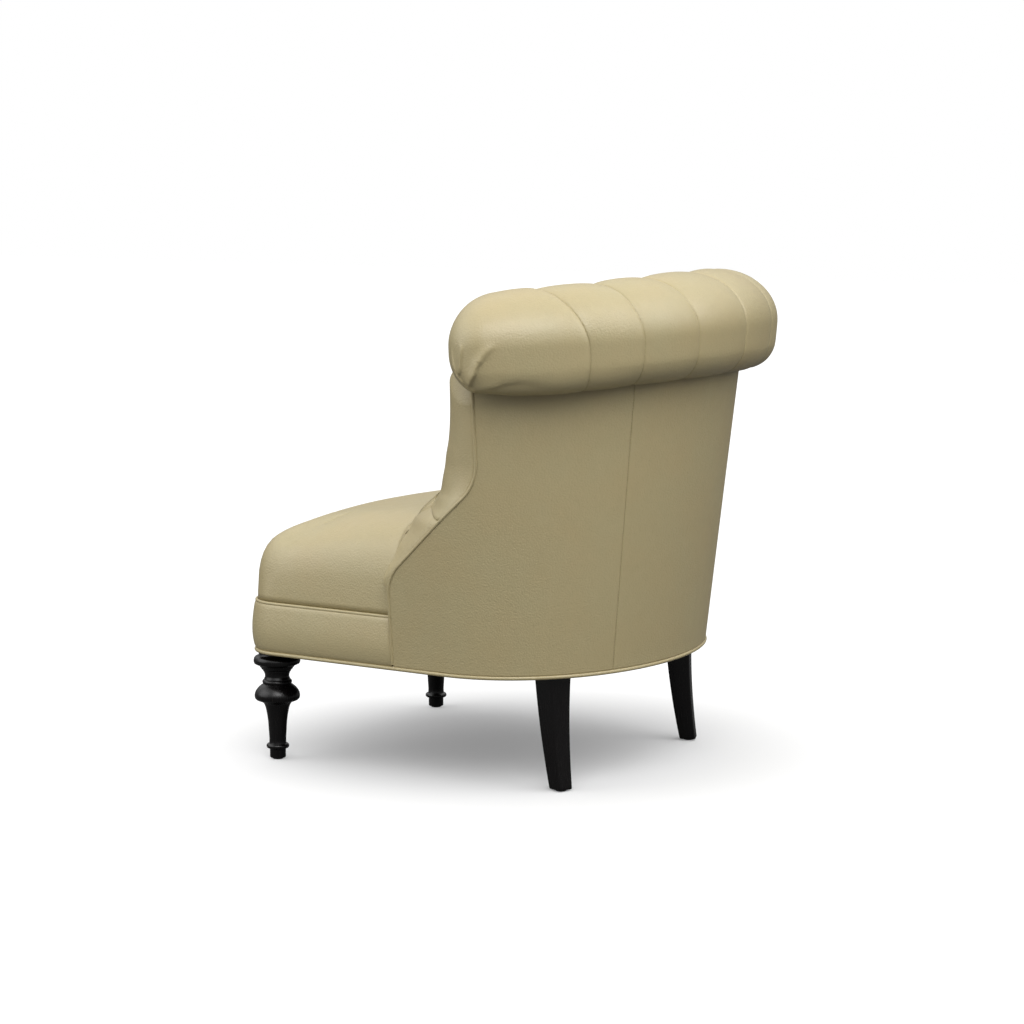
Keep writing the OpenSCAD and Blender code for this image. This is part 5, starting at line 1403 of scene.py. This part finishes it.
class CHAIR_OT_stage(ChairStep, bpy.types.Operator):
    """White floor, soft studio light and the camera, in metres"""
    bl_idname = "chair.stage"
    bl_label = "Stage"

    floor_half = 14.0
    white_from, white_to = 0.3, 0.8  # the floor turns to plain white between these distances
    paper_bounce, paper_seen = 0.11, 0.66  # tone of the paper for its reflected light and for the camera
    paper_glow = 0.182  # light added where the camera sees the shadow
    sky_low, sky_top, sky_power = 0.15, 0.7, 1.07  # share of light at the horizon, full from this height up
    aim = (0, 0, 0.45)
    # Name, place, side and power of each square lamp
    lamps = [("camera_low", (3.03, 1.72, 2.45), 2.4, 14),
             ("camera_high", (2.47, 1.40, 3.29), 2.4, 49),
             ("behind", (-0.3, 3.0, 2.9), 3.4, 54),
             ("front", (2.5, -3.0, 2.0), 3.4, 41)]
    # The photograph's view
    lens, sensor = 103.28, 36
    camera_at = (4.2189, 2.3946, 1.0505)
    camera_right, camera_up = (-0.4993, 0.8665, 0.0), (-0.1138, -0.0656, 0.9913)

    def seen(self, tree):
        """Whether the camera sees a point directly, and whether it sees it directly or through glass."""
        path = add(tree, "ShaderNodeLightPath").outputs
        direct, through = path["Is Camera Ray"], path["Is Transmission Ray"]
        return direct, add(tree, "ShaderNodeMath", {0: direct, 1: through}, operation="MAXIMUM").outputs[0]

    def floor(self):
        """White paper: plain white further off, with the chair's soft shadow on it near the chair."""
        half = self.floor_half
        corners = np.array([[-half, -half, 0], [half, -half, 0], [half, half, 0], [-half, half, 0]])
        floor = fresh_object("floor", mesh_of("floor", corners, [[0, 1, 2, 3]]))
        made = bpy.data.materials.new("white_paper")
        made.use_nodes = True
        tree = made.node_tree
        tree.nodes.clear()
        place = add(tree, "ShaderNodeTexCoord").outputs["Object"]
        far = add(tree, "ShaderNodeVectorMath", {0: place}, operation="LENGTH").outputs["Value"]
        away = add(tree, "ShaderNodeMapRange", {0: far, 1: self.white_from, 2: self.white_to, 3: 0.0, 4: 1.0},
                   interpolation_type="SMOOTHSTEP").outputs[0]
        direct, seen = self.seen(tree)
        pale = between(tree, direct, self.paper_bounce, self.paper_seen, (0, 1))
        paper = add(tree, "ShaderNodeBsdfDiffuse", {"Color": pale}).outputs[0]
        white = add(tree, "ShaderNodeEmission", {"Strength": 1.0}).outputs[0]
        part = add(tree, "ShaderNodeMath", {0: seen, 1: away}, operation="MULTIPLY").outputs[0]
        both = add(tree, "ShaderNodeMixShader", {0: part, 1: paper, 2: white}).outputs[0]
        level = between(tree, direct, 0, self.paper_glow, (0, 1))
        glow = add(tree, "ShaderNodeEmission", {"Strength": level}).outputs[0]
        total = add(tree, "ShaderNodeAddShader", {0: both, 1: glow}).outputs[0]
        add(tree, "ShaderNodeOutputMaterial", {"Surface": total})
        floor.data.materials.append(made)

    def world(self):
        """White background, and a studio whose light comes mostly from above."""
        world = bpy.data.worlds.new("studio")
        world.use_nodes = True
        tree = world.node_tree
        tree.nodes.clear()
        _, seen = self.seen(tree)
        place = add(tree, "ShaderNodeTexCoord").outputs["Generated"]
        up = add(tree, "ShaderNodeSeparateXYZ", {0: place}).outputs["Z"]
        sky = add(tree, "ShaderNodeMapRange", {0: up, 1: 0.0, 2: self.sky_top, 3: self.sky_low, 4: 1.0},
                  interpolation_type="SMOOTHSTEP").outputs[0]
        level = add(tree, "ShaderNodeMath", {0: sky, 1: self.sky_power}, operation="MULTIPLY").outputs[0]
        soft = add(tree, "ShaderNodeBackground", {"Color": (1, 1, 1, 1), "Strength": level}).outputs[0]
        white = add(tree, "ShaderNodeBackground", {"Color": (1, 1, 1, 1), "Strength": 1.0}).outputs[0]
        both = add(tree, "ShaderNodeMixShader", {0: seen, 1: soft, 2: white}).outputs[0]
        add(tree, "ShaderNodeOutputWorld", {"Surface": both})
        bpy.context.scene.world = world

    def lamp(self, name, place, side, power):
        light = bpy.data.lights.new(name, "AREA")
        light.shape = "RECTANGLE"
        light.size = light.size_y = side
        light.energy = power
        lamp = fresh_object(name, light)
        lamp.location = place
        lamp.rotation_euler = (Vector(self.aim) - Vector(place)).to_track_quat("-Z", "Y").to_euler()

    def camera(self):
        data = bpy.data.cameras.new("camera")
        data.sensor_width = self.sensor
        data.lens = self.lens
        data.clip_end = 60
        camera = fresh_object("camera", data)
        camera.location = self.camera_at
        right = Vector(self.camera_right).normalized()
        back = right.cross(Vector(self.camera_up)).normalized()
        up = back.cross(right)
        camera.rotation_mode = "QUATERNION"
        camera.rotation_quaternion = Matrix((right, up, back)).transposed().to_quaternion()
        return camera

    def execute(self, context):
        self.floor()
        self.world()
        for lamp in self.lamps:
            self.lamp(*lamp)
        context.scene.camera = self.camera()
        context.scene.view_settings.view_transform = "Standard"
        return {"FINISHED"}


class CHAIR_PT_sidebar(bpy.types.Panel):
    """Steps and sizes of the chair"""
    bl_label = "Slipper chair"
    bl_idname = "CHAIR_PT_sidebar"
    bl_space_type = "VIEW_3D"
    bl_region_type = "UI"
    bl_category = "Chair"

    def draw(self, context):
        for step in STEPS:
            self.layout.operator(step.bl_idname)
        for key in GROUPS:
            box = self.layout.box()
            group = getattr(context.scene, key)
            for prop in own_props(group):
                box.prop(group, prop.identifier)


STEPS = (CHAIR_OT_seat, CHAIR_OT_seat_front, CHAIR_OT_outside_back, CHAIR_OT_arm_bands, CHAIR_OT_inside_back,
         CHAIR_OT_buttons, CHAIR_OT_roll, CHAIR_OT_piping, CHAIR_OT_front_legs, CHAIR_OT_rear_legs,
         CHAIR_OT_cloths, CHAIR_OT_underside, CHAIR_OT_stage)


def register():
    for kind in (*GROUPS.values(), *STEPS, CHAIR_PT_sidebar):
        bpy.utils.register_class(kind)
    for key, kind in GROUPS.items():
        setattr(bpy.types.Scene, key, bpy.props.PointerProperty(type=kind))


def unregister():
    for key in GROUPS:
        delattr(bpy.types.Scene, key)
    for kind in reversed((*GROUPS.values(), *STEPS, CHAIR_PT_sidebar)):
        bpy.utils.unregister_class(kind)


def main():
    register()
    for step in STEPS:
        area, action = step.bl_idname.split(".")
        getattr(getattr(bpy.ops, area), action)()


if __name__ == "__main__":
    main()
